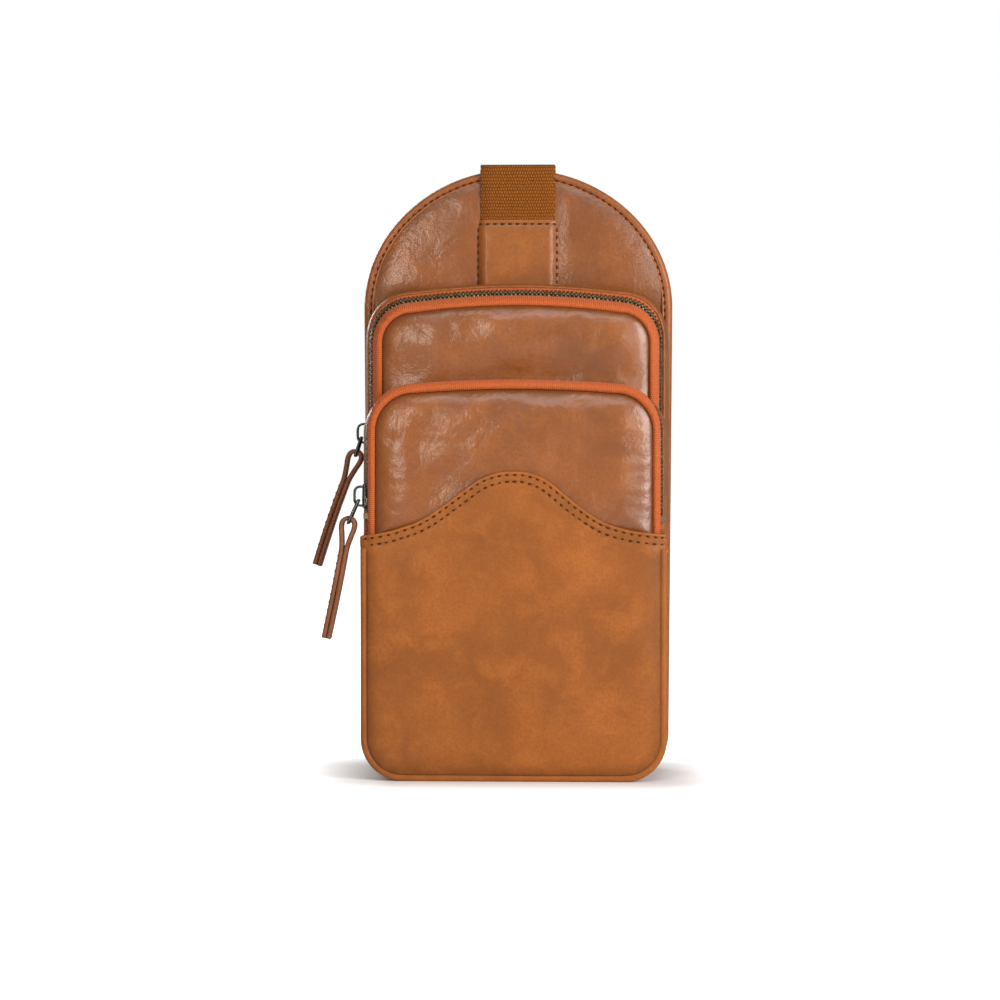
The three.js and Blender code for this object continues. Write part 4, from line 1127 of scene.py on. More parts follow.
def make_main_compartment():
    gusset_offset = BOX_W - MAIN["half"]
    rim = around(MAIN, BOX_W, gusset_offset)
    upper = ease((rim.p[:, 1] - FOLD - 1) / 7)
    top = top_share(rim) * upper
    back = BACK_Y - 0.1
    t = MAIN_TAPER
    side = profile([
        (-0.9, back), (-0.8, 22), (-0.45 - 0.3 * t, 16), (-0.6 - 0.6 * t, 10), (-0.85 - 0.9 * t, 6.4),
        (-1.2 - t, 4.6)
    ])
    crown = profile([(-0.9, back), (0.3, 22), (0.75, 15), (0.7, 9), (0.2, 4.8), (-0.5, 2.8)])
    low = profile([
        (-1.1, back), (-0.95, 20), (-0.85, 13), (-0.85, 6), (-0.95, 0),
        (-1.1, box("divider_lower")[1][Y] + 0.2)
    ])
    o, y = mixed([low, side, crown], [1 - upper, upper - top, top])
    count = o.shape[1]
    # seam mark: darker along both edges of the gusset. This is partly burnished joins and partly painted
    # shade at the joins.
    edge = bell(np.linspace(1, 0, count), 0.09)
    marks = {"seam": 0.8 * edge + bell(np.linspace(0, 1, count), 0.05), "wear": edge}
    band = ribbon("main_gusset", rim, o, y, HIDE, "band", marks)
    place(band, "bag", ["main_gusset_lower", "main_gusset_upper"])

    lining_y = box("main_back_lining")[0][Y]
    outline = hoop(MAIN, 28, 28, 7.6, 3.0).p
    lining = skin(
        "main_back_cloth", outline, lambda x, z, d: lining_y + lumps(x, z, 20, 14) * 0.2, CLOTH, "lining", 5
    )
    place(lining, "bag", ["main_back_lining"])

    low, high = box("inner_slip_pocket")
    half, corner = high[X], 8
    foot = arc(corner - half, low[Z] + corner, corner, 180, 270)
    foot += arc(half - corner, low[Z] + corner, corner, -90, 0)
    outline = looped([(-half, high[Z])] + foot + [(half, high[Z])], 3.0)

    def slip_face(x, z, d):
        return low[Y] - 0.35 * bell(z - high[Z], 4) + lumps(x, z, 22, 15) * 0.25

    place(skin("slip_pocket", outline, slip_face, 0.8, "lining", 4), "bag", ["inner_slip_pocket"])


def make_divider():
    """The wall between the compartments, and the cloth that bridges it across the fold."""
    front_y = box("divider_lower")[0][Y]

    def wall_face(x, z, d):
        return front_y + lumps(x, z, 30, 16) * 0.3 * ease(d / 10)

    wall = trough(POCKET_W, FOLD - 0.3, 0, 2.0).p
    place(skin("divider", wall, wall_face, HIDE, "waxed", 4), "bag", ["divider_lower"])
    half, below, above = 66, 9, 12
    outline = looped(
        [(-half, FOLD + above), (half, FOLD + above), (half, FOLD - below), (-half, FOLD - below)], 2.0
    )
    bridge = skin(
        "divider_bridge", outline, lambda x, z, d: np.full(len(x), front_y + 0.55), 0.8, "lining", 2.5
    )
    place(bridge, ("bag", "main_flap"))


def make_main_flap():
    outline = hoop(MAIN, FOLD + 0.6, FOLD + 0.6, 0.4, 1.4).p
    # seam mark: darker along the panel's edges. This is partly burnished leather and partly painted shade
    # beside the proud zip tape.
    panel = skin(
        "main_panel", outline, main_face, HIDE, "glazed", marks={"seam": lambda x, z, d: bell(d, 3.2) * 0.9}
    )
    place(panel, "main_flap", ["main_panel_upper"])
    make_flap_lining("main_flap", "main_flap_lining", hoop(MAIN, FOLD + 1, FOLD + 1, -2, 3.0).p)


def make_flap_lining(body, node, outline):
    lining_y = box(node)[0][Y]
    cloth = skin(f"{body}_cloth", outline, lambda x, z, d: lining_y + 0 * x, CLOTH, "lining", 6)
    place(cloth, body, [node])


# ---- zips ----------------------------------------------------------------------------------------
def make_zip(name, shape, surface, slot, chain, foot, bodies, tapes, seat):
    """Tapes and teeth. tapes gives the front and rear tape's sections at the side and at the top of the bag.
    seat gives the chain's turn to the front at the side and the top, in degrees, and its place at the top."""
    rear_body, front_body = bodies
    backwards = np.array([0, 1, 0])
    (front_side, front_top), (rear_side, rear_top) = tapes
    turn_side, turn_top, top_offset, top_y = seat

    def chain_at(rim):
        share = top_share(rim)
        turn = np.radians(turn_side + (turn_top - turn_side) * share)
        offset = surface + (top_offset - surface) * share
        depth = slot + (top_y - slot) * share
        return offset, depth, np.sin(turn), np.cos(turn)

    def under_chain(rim, across, behind):
        """Offset and y of a line under the teeth, across from the chain's middle towards the rear."""
        offset, depth, sine, cosine = chain_at(rim)
        return offset + across * sine - behind * cosine, depth + across * cosine + behind * sine

    rim = hoop(shape, foot, foot)
    share = top_share(rim)
    corner = 4 * share * (1 - share)
    o, y = mixed([profile(front_side), profile(front_top)], [1 - share, share])
    across = np.linspace(0, 1, o.shape[1])
    ripple = np.sin(rim.s * 2 * math.pi / 4.4 + np.sin(rim.s * 0.31))
    swell = 0.42 * zips().puckers * corner * ripple
    o = o + swell[:, None] * np.sin(across * math.pi)[None] * 0.6
    y = y - swell[:, None] * np.sin(across * math.pi)[None]
    hem = [under_chain(rim, *at) for at in ((-1.9, -0.3), (-1.3, 0.5), (-0.2, 0.7))]
    o, y = np.c_[o, np.stack([h[0] for h in hem], 1)], np.c_[y, np.stack([h[1] for h in hem], 1)]
    front = ribbon(f"{name}_tape_front", rim, o, y, 0.8, "tape")
    place(front, front_body, [f"{name}_zip_tape_front"])
    if isinstance(front_body, tuple):
        front_body = front_body[1]
    o, y = mixed([profile(rear_side), profile(rear_top)], [1 - share, share])
    hem = [under_chain(rim, *at) for at in ((0.2, 0.7), (1.3, 0.5), (1.9, 0.0))]
    o, y = np.c_[np.stack([h[0] for h in hem], 1), o], np.c_[np.stack([h[1] for h in hem], 1), y]
    limit = np.where(rim.p[:, 0] < 0, chain[0], chain[1]) - 4.5
    tail = ease((limit - rim.p[:, 1]) / 2.0)
    last = 6  # the columns of the rear tape that tuck in below the stops
    for k in range(last):
        y[:, k] = y[:, k] * (1 - tail) + ((slot - 2.0) * (last - k) / last + y[:, last] * k / last) * tail
        o[:, k] = o[:, k] * (1 - tail) + o[:, last] * tail
    place(ribbon(f"{name}_tape_rear", rim, o, y, 0.7, "tape"), rear_body, [f"{name}_zip_tape_rear"])

    toothed = hoop(shape, chain[0], chain[1], 0, 0.35)
    offset, depth, sine, cosine = chain_at(toothed)
    out = np.c_[toothed.n[:, 0], np.zeros(len(depth)), toothed.n[:, 1]]
    along = np.c_[toothed.t[:, 0], np.zeros(len(depth)), toothed.t[:, 1]]
    to_rear = out * sine[:, None] + backwards * cosine[:, None]
    normal = out * cosine[:, None] - backwards * sine[:, None]
    middle = front_points(toothed.p, 0) + out * offset[:, None] + backwards * depth[:, None]
    s = running(middle)
    pitch = zips().tooth_pitch * 1000
    for side, body, shift in (("rear", rear_body, 0.0), ("front", front_body, 0.5)):
        at = np.arange(pitch * (0.4 + shift), s[-1] - pitch * 0.3, pitch)
        sign = 1 if side == "rear" else -1
        points = columns_at(at, s, middle) + sign * TOOTH_REACH * columns_at(at, s, to_rear)
        heading = sign * columns_at(at, s, along)
        outwards = columns_at(at, s, normal)
        row = repeated(
            f"{name}_teeth_{side}", "tooth", points, heading, outwards, "teeth", turn=0.03, vary=0.02
        )
        place(row, body, [f"{name}_zip_teeth_{side}"])
        refinish(f"{name}_zip_top_stop_{side}", "teeth")
    refinish(f"{name}_zip_bottom_stop", "teeth")


def make_main_zip():
    s, t = MAIN_SURFACE - MAIN_TAPER, MAIN_SLOT
    front_side = [(0.2, -4.9), (1.0, -6.1), (2.2, -6.0), (3.2, -5.1), (3.9, -4.0), (4.4, -2.8)]
    front_top = [(0.2, -5.0), (0.9, -6.5), (2.0, -6.6), (3.1, -5.7), (4.1, -4.2), (5.0, -2.9)]
    rear_side = [(5.5, 0.6), (6.0, 1.6), (6.1, 2.8), (6.2, 4.4), (6.4, 6.4), (6.9, 8.7)]
    rear_top = [(8.1, -0.4), (8.9, 0.3), (9.0, 1.5), (8.7, 3.2), (8.3, 5.5), (7.9, 8.7)]
    tapes = ((front_side, front_top), (rear_side, rear_top))
    make_zip("main", MAIN, s, t, MAIN_CHAIN, FOLD + 0.6, ("bag", "main_flap"), tapes, (24, 56, 6.4, -1.7))


def make_pocket_zip():
    s, t = POCKET_SURFACE - POCKET_TAPER, POCKET_SLOT
    front_side = [(0.2, -28.8), (0.8, -30.1), (1.8, -30.3), (2.7, -29.5), (3.3, -28.3), (3.4, -27.0)]
    front_top = [(0.2, -29.0), (1.0, -30.7), (2.4, -31.0), (3.7, -30.0), (4.4, -28.6), (4.3, -27.1)]
    rear_side = [(4.2, -22.4), (4.3, -21.4), (4.2, -20.2), (4.3, -18.4), (4.4, -15.5)]
    rear_top = [(3.9, -22.6), (3.8, -21.5), (3.4, -20.2), (3.0, -18.4), (2.8, -15.5)]
    tapes = ((front_side, front_top), (rear_side, rear_top))
    bodies = ("main_flap", ("main_flap", "pocket_flap"))
    make_zip("pocket", POCKET, s, t, POCKET_CHAIN, POCKET_TAPE_FOOT, bodies, tapes, (16, 12, 3.4, -24.9))


def make_slider(name, body):
    low, high = box(f"{name}_slider")
    main = name == "main"
    taper = MAIN_TAPER if main else POCKET_TAPER
    surface = (MAIN["half"] + MAIN_SURFACE if main else POCKET["half"] + POCKET_SURFACE) - taper
    slot = MAIN_SLOT if main else POCKET_SLOT
    origin = np.array([-surface, slot, (low[Z] + high[Z]) / 2])
    turn = math.radians(11)
    out = np.array([-math.cos(turn), -math.sin(turn), 0])
    across = np.array([-math.sin(turn), math.cos(turn), 0])
    up = np.array([0, 0, 1.0])

    def at(a, b, c):
        return origin + a * across + b * up + c * out

    half = [
        (0, 6.0), (1.5, 6.0), (2.3, 5.2), (2.7, 3.6), (3.3, 1.4), (3.9, -0.6), (4.1, -2.6), (4.1, -4.6),
        (3.7, -5.6), (2.6, -6.0), (0, -6.0)
    ]
    outline = even(catmull(half + mirrored(half)[1:], 4), 0.8)[:-1]
    narrow = outline * np.array([0.70, 1.0])
    plates = [bevelled(outline, 1.55, 2.75, 0.4, at), bevelled(narrow, -2.7, -1.6, 0.35, at)]
    post = looped([(-0.45, -5), (0.45, -5), (0.8, -3.4), (0.4, -1.2), (-0.4, -1.2), (-0.8, -3.4)], 0.4)
    plates.append(bevelled(post, -2.0, 2.0, 0.1, at))
    for side in (-1, 1):
        lip = [(side * 3.5, -5.2), (side * 4.1, -4.4), (side * 4.1, -0.8), (side * 3.5, -0.4)]
        if side < 0:
            lip = lip[::-1]
        plates.append(bevelled(looped(lip, 0.5), 0.9, 2.2, 0.12, at))
    place(joined(f"{name}_slider_body", plates, "gunmetal"), body, [f"{name}_slider"])
    foot, crown = 2.3, 5.75
    rise = [(-4.5, foot), (-4.7, 3.6), (-4.2, 4.9), (-2.9, 5.6)]
    reach = 1 + taper / (crown - foot)
    hump = catmull(rise + [(0, crown)] + mirrored(rise), 6)
    line = np.array([at(0, b, foot + (c - foot) * reach) for b, c in hump])
    place(strip(f"{name}_bail", line, 2.5, 1.15, "gunmetal", across=across, corner=0.4), body)


def make_pull(name, link_body, pull_body):
    eye = np.array(joint(f"{name}_link_swing")["pos_m"]) * 1000
    bar = np.array(joint(f"{name}_pull_swing")["pos_m"]) * 1000
    length = np.linalg.norm(bar - eye)
    down = (bar - eye) / length
    wide = np.array([0, 1.0, 0])
    shift = -0.7  # the wire's narrow end sits a little to the front under the bail
    shape = [
        (-2.1 + shift, 0), (2.1 + shift, 0), (3.1, 0.9), (5.1, length - 1.5), (4.6, length - 0.25),
        (3.2, length), (0, length), (-3.2, length), (-4.6, length - 0.25), (-5.1, length - 1.5),
        (-3.4 + shift * 0.6, 0.9)
    ]
    closed = catmull(shape + shape[:3], 5)[5:-10]
    line = np.array([eye + wide * a + down * b for a, b in looped(closed, 0.7)])
    place(wire(f"{name}_link_wire", line, 0.72, "gunmetal", closed=True), link_body, [f"{name}_pull_link"])

    tilt = math.radians(19.5 if name == "main" else 11.0)
    fall = np.array([-math.sin(tilt), 0, -math.cos(tilt)])
    out = np.array([-math.cos(tilt), 0, math.sin(tilt)])
    tip, ply, eye_radius, eye_drop = 58.4, 1.2, 3.25, 1.0
    over = np.radians(np.linspace(165, 15, 9))
    loop = [(-eye_radius, eye_drop)]
    loop += [(eye_radius * math.cos(a), eye_drop - eye_radius * math.sin(a)) for a in over]
    loop += [(eye_radius, eye_drop)]
    side = [(ply, tip), (ply + 0.02, 44), (ply, 28), (ply, 16), (ply + 0.15, 12), (2.35, 6.5), (3.1, 3.2)]
    path = even(catmull([(-a, b) for a, b in side] + loop + side[::-1], 5), 1.1)
    curve = 1 if name == "main" else -0.6

    def bow(fallen):
        """How far the pull's middle stands out at a distance down from its bar."""
        return 0.7 * np.sin(np.clip(fallen / tip, 0, 1) * math.pi) * curve

    line = bar + (path[:, 0] + bow(path[:, 1]))[:, None] * out + path[:, 1][:, None] * fall
    width = 7.7 + 0.7 * ease((path[:, 1] - 10) / 30)
    pull = strip(f"{name}_pull", line, width, 2.2, "pull", across=(0, 1, 0), corner=0.6)
    place(pull, pull_body, [f"{name}_pull_tab"])
    d = np.linspace(15, 54, 40)
    for label, row in (("front", -2.6), ("rear", 2.6)):
        face = bar + (bow(d) + ply + 0.85)[:, None] * out + d[:, None] * fall + wide * row
        place(stitches(f"{name}_pull_stitches_{label}", face, out), pull_body)


# ---- front pocket --------------------------------------------------------------------------------
def make_pocket_box():
    offset = POCKET_W - POCKET["half"]
    rim = around(POCKET, POCKET_W, offset)
    upper = ease((rim.p[:, 1] - FOLD - 4) / 8)
    top = top_share(rim) * upper
    back = box("front_gusset_lower")[1][Y] + 0.5
    t = POCKET_TAPER
    side = profile([
        (-9.5, back), (-4.5, back), (-0.9, back), (-0.8, -10), (-0.5 - 0.4 * t, -14), (-0.6 - 0.8 * t, -17),
        (-0.9 - t, -19), (-1.3 - t, -20.6)
    ])
    crown = profile([
        (-12.5, back), (-7.5, back), (-4.1, back), (-3.7, -10), (-3.5, -14), (-3.6, -17.2), (-3.9, -19.6),
        (-4.4, -21.4)
    ])
    low = profile([
        (-9.5, back), (-4.5, back), (-1.1, back), (-0.95, -11), (-0.85, -16), (-0.85, -21), (-0.95, -26),
        (-1.1, -29.2)
    ])
    o, y = mixed([low, side, crown], [1 - upper, upper - top, top])
    # seam mark: darker along the gusset's front edge and where it is sewn to the main panel. This is partly
    # burnished joins and partly painted shade at the joins.
    edge = bell(np.linspace(1, 0, o.shape[1]), 0.1) * 0.9
    welt = bell(np.linspace(0, 1, o.shape[1]), 0.06)
    band = ribbon("pocket_gusset", rim, o, y, HIDE, "band", {"seam": 0.7 * edge + welt, "wear": edge * 0.8})
    place(band, ("bag", "main_flap"), ["front_gusset_lower", "front_gusset_upper"])

    bead = trough(POCKET_W, TAB_Z + 0.8)
    count = 18
    turns = np.radians(np.linspace(-100, 190, count))
    o, y = -2.05 + 1.55 * np.cos(turns), FRONT_Y + 0.9 - 1.45 * np.sin(turns)
    # seam mark: darker at both ends of the piping's section. This is partly burnished leather and partly
    # painted shade in the groove between the piping and the panel.
    seam = 0.7 * bell(np.linspace(1, 0, count), 0.3) + 0.4 * bell(np.linspace(0, 1, count), 0.2)
    wear = 0.35 * np.sin(np.linspace(0, math.pi, count)) ** 4
    pipe = ribbon("front_piping", bead, o, y, 1.0, "waxed", {"seam": seam, "wear": wear})
    place(pipe, ("bag", "main_flap"), ["front_piping"])


def panel_side():
    """The lower skin's edge beside the piping, with the tabs that lap over the piping's ends."""
    tab = [
        (POCKET_W + 0.2, POCKET_TAPE_FOOT), (POCKET_W + 0.2, TAB_Z + 1.2), (POCKET_W - 0.4, TAB_Z + 0.2),
        (POCKET_W - 1.2, TAB_Z)
    ]
    right = even(np.array(tab + [(POCKET_W - 3.1, TAB_Z)]), 1.2)
    return np.vstack([right[:-1], trough(POCKET_W, TAB_Z, -3.1, 1.3).p, right[::-1][1:] * np.array([-1, 1])])


def panel_outline():
    return np.vstack([panel_side(), WAVE[1:-1]])


def cut_normals(obj, cut):
    """Shades the cut edge of a split skin as if it were still whole."""
    mesh = obj.data
    outline = panel_outline()
    co = np.array([v.co for v in mesh.vertices]) * 1000
    normals = np.array([n.vector for n in mesh.vertex_normals])
    near = np.where((abs(co[:, 2] - cut) < 0.6) & (normals[:, 1] < -0.05))[0]
    x, z, e = co[near, 0], co[near, 2], 0.4
    far = distance_to(np.c_[x, z], outline) > 1.2
    near, x, z = near[far], x[far], z[far]

    def height(px, pz):
        return overlay_y(px, pz, distance_to(np.c_[px, pz], outline))

    gx = (height(x + e, z) - height(x - e, z)) / (2 * e)
    gz = (height(x, z + e) - height(x, z - e)) / (2 * e)
    exact = np.c_[gx, -np.ones(len(x)), gz]
    normals[near] = unit(exact)
    mesh.normals_split_custom_set_from_vertices([tuple(n) for n in normals])


def make_lower_panel():
    whole = panel_outline()
    rising, falling = WAVE[: len(WAVE) // 2], WAVE[len(WAVE) // 2 :][::-1]
    start, end = (np.interp(SPLIT, half[:, 1], half[:, 0]) for half in (rising, falling))
    across = np.r_[np.arange(start, end, 1.3), end]
    cut = np.c_[across, np.full(len(across), SPLIT)]
    left, right = WAVE[WAVE[:, 0] < start], WAVE[WAVE[:, 0] > end]
    lower = np.vstack([panel_side(), left[1:], cut, right[:-1]])
    crest = np.vstack([cut[::-1], WAVE[(WAVE[:, 0] > start) & (WAVE[:, 0] < end)]])

    # seam mark: darker near the skin's lower outline and along both stitch rows, which sit in dips. This is
    # partly burnished leather and partly painted shade in the dips.
    def seam(x, z, d):
        top = distance_to(np.c_[x, z], WAVE, False)
        rows = sum(0.5 * bell(top - row, 0.6) for row in WAVE_ROWS)
        return np.clip(0.75 * bell(d, 4.5) * ease((TAB_Z + 1 - z) / 3) + rows, 0, 1)

    def wear(x, z, d):
        return bell(distance_to(np.c_[x, z], WAVE, False) - 0.7, 0.6) * 0.9

    marks = {"seam": seam, "wear": wear}
    lower_skin = skin("front_lower_skin", lower, overlay_y, HIDE, "waxed", marks=marks, edge=whole)
    crest_skin = skin("front_crest_skin", crest, overlay_y, HIDE, "waxed", marks=marks, edge=whole)
    cut_normals(lower_skin, SPLIT)
    cut_normals(crest_skin, SPLIT)
    place(lower_skin, ("bag", "main_flap"), ["front_panel_lower", "front_fold_leather"])
    place(crest_skin, ("main_flap", "pocket_flap"), ["front_panel_crest"])
    rim = Rim(WAVE, step=0.8)
    for index, row in enumerate(WAVE_ROWS):
        flat = rim.at(-row)
        flat = flat[abs(flat[:, 0]) < POCKET_W - 0.5]
        d = distance_to(flat, whole)
        y = overlay_y(flat[:, 0], flat[:, 1], d) - 0.1
        line = np.c_[flat[:, 0], y, flat[:, 1]]
        high = flat[:, 1] > SPLIT
        first, last = np.argmax(high), len(high) - np.argmax(high[::-1])
        for label, part, bodies, bend in (
            ("left", line[: first + 1], ("bag", "main_flap"), BOX_BEND),
            ("crest", line[first:last], ("main_flap", "pocket_flap"), FLAP_BEND),
            ("right", line[last - 1 :], ("bag", "main_flap"), BOX_BEND),
        ):
            place(stitches(f"wave_stitches_{index}_{label}", part, (0, -1, 0)), bodies)


def make_pocket_flap():
    outline = hoop(POCKET, POCKET_SKIN_FOOT, POCKET_SKIN_FOOT, 0.4, 1.3).p
    # seam mark: darker along the skin's edges. This is partly burnished leather and partly painted shade
    # beside the proud zip tape.
    panel = skin(
        "pocket_skin", outline, pocket_face, HIDE, "glazed",
        marks={"seam": lambda x, z, d: bell(d, 3.0) * 0.9}
    )
    place(panel, ("main_flap", "pocket_flap"), ["front_panel_upper"])
    make_flap_lining(
        "pocket_flap", "front_flap_lining", hoop(POCKET, POCKET_FOLD + 0.6, POCKET_FOLD + 0.6, -2, 3.0).p
    )


# ---- strap ---------------------------------------------------------------------------------------
def offset_line(p, distance):
    t = unit(np.gradient(p, axis=0))
    return p + np.c_[-t[:, 1], t[:, 0]] * distance


def make_webbing():
    """The webbing from the patch over the top and down the back, doubled down to the ring and back up."""
    low, high = box("strap_webbing")
    half = 0.9
    front_y, top_z = low[Y] + half, high[Z] - half
    rear_y = box("back_edge_binding")[1][Y] + 0.3 + half
    ply = 1.05
    middle_y, floor = rear_y + 0.2 + ply, half + 0.1 + ply
    reach, turn = high[Y] - half - ply - 8, 8.0
    dip, hump = floor + 4.5, 2 * turn + floor
    doubled = np.vstack([
        [(middle_y, ADJUSTER_Z - 8), (middle_y, 150), (middle_y, 110)],
        bezier((middle_y, 110), (middle_y, 52), (middle_y + 11, 7.5), (100, dip), 40)[1:],
        bezier((100, dip), (115, dip), (reach - 14, hump), (reach, hump), 20)[1:],
        np.array(arc(reach, floor + turn, turn, 90, -90, 18))[1:], [(78, floor)]])
    doubled = even(doubled, 2.0)
    outer, inner = offset_line(doubled, ply), offset_line(doubled, -ply)
    r = 2.2
    over = arc(front_y + r, top_z - r, r, 180, 90, 7)[1:] + arc(rear_y - r, top_z - r, r, 90, 0, 7)
    down = bezier((rear_y, top_z - r), (rear_y, 290), (outer[0][0], 285), (outer[0][0], 270), 10)[1:]
    up = [(front_y, 251), (front_y, 280), (front_y, top_z - r)] + over + list(down)
    turned = int(np.argmax(outer[:, 0]))
    cut = turned + int(np.argmax(outer[turned:, 0] < 95))
    run = even(np.vstack([up, outer[: cut + 1]]), 1.3)
    place(strip("strap_run", run, WEB_WIDTH, WEBBING, "webbing", wave=0.16), "bag", ["strap_webbing"])
    wrap = RING_WIRE + 0.3 + half
    ring_y, ring_z = RING
    loop = np.vstack([
        outer[cut:],
        bezier(outer[-1], (72, outer[-1][1]), (64, ring_z - wrap), (ring_y, ring_z - wrap), 8)[1:],
        np.array(arc(ring_y, ring_z, wrap, -90, -270, 12))[1:],
        bezier((ring_y, ring_z + wrap), (64, ring_z + wrap), (72, inner[-1][1]), inner[-1], 8)[1:],
        inner[cut:][::-1][1:]])
    piece = strip("strap_ring_loop", even(loop, 1.3), WEB_WIDTH, WEBBING, "webbing", wave=0.16)
    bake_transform(piece)
    end = strip("strap_end", even(inner[: cut + 1], 1.3), WEB_WIDTH, WEBBING, "webbing", wave=0.16)
    place(end, "bag")


def make_adjuster():
    """The metal adjuster, with the webbing that passes over its middle bar."""
    low, high = box("strap_over_bar")
    tucked, crest = low[Y] + 0.8, high[Y] - 0.8
    bar, z = 1.2, ADJUSTER_Z
    end_bar = (ADJUSTER[1][Z] - ADJUSTER[0][Z]) / 2 - bar
    over = np.vstack([
        bezier((tucked, z - end_bar - 4), (tucked, z - 5), (crest, z - 9), (crest, z), 16),
        bezier((crest, z), (crest, z + 9), (tucked, z + 5), (tucked, z + end_bar + 4), 16)[1:]])
    piece = strip("strap_over_bar_webbing", even(over, 1.0), WEB_WIDTH, 1.5, "webbing", wave=0.14)
    place(piece, "strap_adjuster", ["strap_over_bar"])
    bar_y = (ADJUSTER[0][Y] + ADJUSTER[1][Y]) / 2
    side = ADJUSTER[1][X] - bar
    loop = rounded(side, -end_bar, end_bar, 3.0)
    loop = np.c_[loop[:, 0], np.full(len(loop), bar_y), loop[:, 1] + z]
    adjuster = wire("adjuster_frame", loop, bar, "gunmetal", closed=True, sides=12)
    place(adjuster, "strap_adjuster", ["strap_adjuster"])
    rod = np.array([(x, bar_y, z) for x in np.linspace(-side, side, 30)])
    place(wire("adjuster_bar", rod, bar, "gunmetal", sides=12), "strap_adjuster")


def make_ring():
    """The wire ring at the foot of the back, and the stitched leather tab that holds it."""
    pivot = np.array(joint("strap_ring_swing")["pos_m"]) * 1000
    side = box("strap_ring")[1][X] - RING_WIRE
    down = np.array([0, RING[0] - pivot[1], RING[1] - pivot[2]])
    length = np.linalg.norm(down)
    down /= length
    loop = rounded(side, 0, length, 2.4)
    line = pivot * np.array([0, 1, 1]) + loop[:, :1] * np.array([1.0, 0, 0]) + loop[:, 1:] * down
    place(wire("ring_loop", line, RING_WIRE, "gunmetal", closed=True, sides=14), "strap_ring", ["strap_ring"])

    low, high = box("ring_tab")
    front_y, rear_y = low[Y] + 0.8, low[Y] + 0.8 + 1.9
    wrap = RING_WIRE + 0.3 + 0.8
    under, over = pivot[2] - wrap, pivot[2] + wrap
    tab = np.vstack([
        bezier((front_y, high[Z]), (front_y, 20), (front_y, under), (pivot[1], under), 16),
        np.array(arc(pivot[1], pivot[2], wrap, -90, 90, 14))[1:],
        bezier((pivot[1], over), (pivot[1] - 3, over), (rear_y, 16), (rear_y, high[Z] - 4), 14)[1:]])
    place(
        strip("ring_tab_leather", even(tab, 0.9), high[X] * 2, 1.55, "waxed", corner=0.5), "bag", ["ring_tab"]
    )
    half, foot, top = high[X] - 3.2, 18.0, high[Z] - 6.5
    seam = even(np.array([(-half, foot), (-half, top), (half, top), (half, foot), (-half, foot)]), 0.8)
    place(stitches("ring_tab_stitches", front_points(seam, rear_y + 0.85), (0, 1, 0)), "bag")


def make_patch():
    """The leather patch that holds the webbing's end to the back panel."""
    low, high = box("strap_patch")
    w, r, inset = high[X], 3.6, 2.5
    cap = [(-w, low[Z])] + arc(r - w, high[Z] - r, r, 180, 90, 8) + arc(
        w - r, high[Z] - r, r, 90, 0, 8
    ) + [(w, low[Z])]
    outline = looped(cap, 1.1)

    def face(x, z, d):
        over = ease((22 - abs(x)) / 6)
        y = low[Y] + 2.9 - 2.3 * over - 0.6 * ease(d / 3.4) + 0.5 * ease((z - high[Z] + 9) / 9)
        y = y + 0.35 * bell(d - inset, 0.6) - 0.3 * ease((d - inset) / 5)
        return y + lumps(x, z, 13, 21) * 0.22 * ease(d / 5)

    # seam mark: darker along the stitch row, which sits in a groove, and at the very edge. This is partly
    # burnished leather and partly painted shade in the groove.
    marks = {
        "seam": lambda x, z, d: 0.75 * bell(d - inset, 0.8) + 0.3 * bell(d, 0.7),
        "wear": lambda x, z, d: 0.5 * bell(d - 1.0, 0.7),
    }
    foot = outline[:, 1:] < low[Z] + 1  # runs on down under the main compartment's crown
    whole = outline - np.array([0, 12]) * foot
    patch = skin("patch_leather", outline - np.array([0, 1.0]) * foot, face, 2.2, "band", 1.3, marks, whole)
    place(patch, "bag", ["strap_patch"])
    flat = Rim(cap, step=0.7).at(-inset)
    y = face(flat[:, 0], flat[:, 1], distance_to(flat, whole)) - 0.08
    place(stitches("patch_stitches", np.c_[flat[:, 0], y, flat[:, 1]], (0, -1, 0)), "bag")


# ---- stage ---------------------------------------------------------------------------------------
LIGHTS = (
    # name, place, aimed at, size, watts, colour
    ("Left softbox", (-0.48, -1.38, 0.46), (0, 0, 0.18), (0.24, 0.5), 4.8, (1, 0.88, 0.76)),
    ("Right strip", (0.55, -1.35, 0.4), (0, 0, 0.18), (0.15, 0.6), 2.2, (1, 0.88, 0.76)),
    ("Rear softbox", (-0.7, 1.2, 0.7), (0, 0, 0.15), (0.6, 0.8), 9.0, (1, 1, 1)),
    ("Right softbox", (0.95, -0.85, 0.5), (0, 0, 0.15), (0.5, 0.8), 14.5, (1, 1, 1)),
    ("Top softbox", (0.1, -0.95, 1.1), (0, 0, 0.15), (0.9, 0.35), 4.4, (1, 1, 1)),
)
CAMERA_TARGET = Vector((-0.0080, 0.0, 0.1384))
CAMERA_LENS, CAMERA_DISTANCE = 107.2, 1.5
CAMERA_AZIMUTH, CAMERA_ELEVATION = math.radians(2.4), math.radians(1.7)


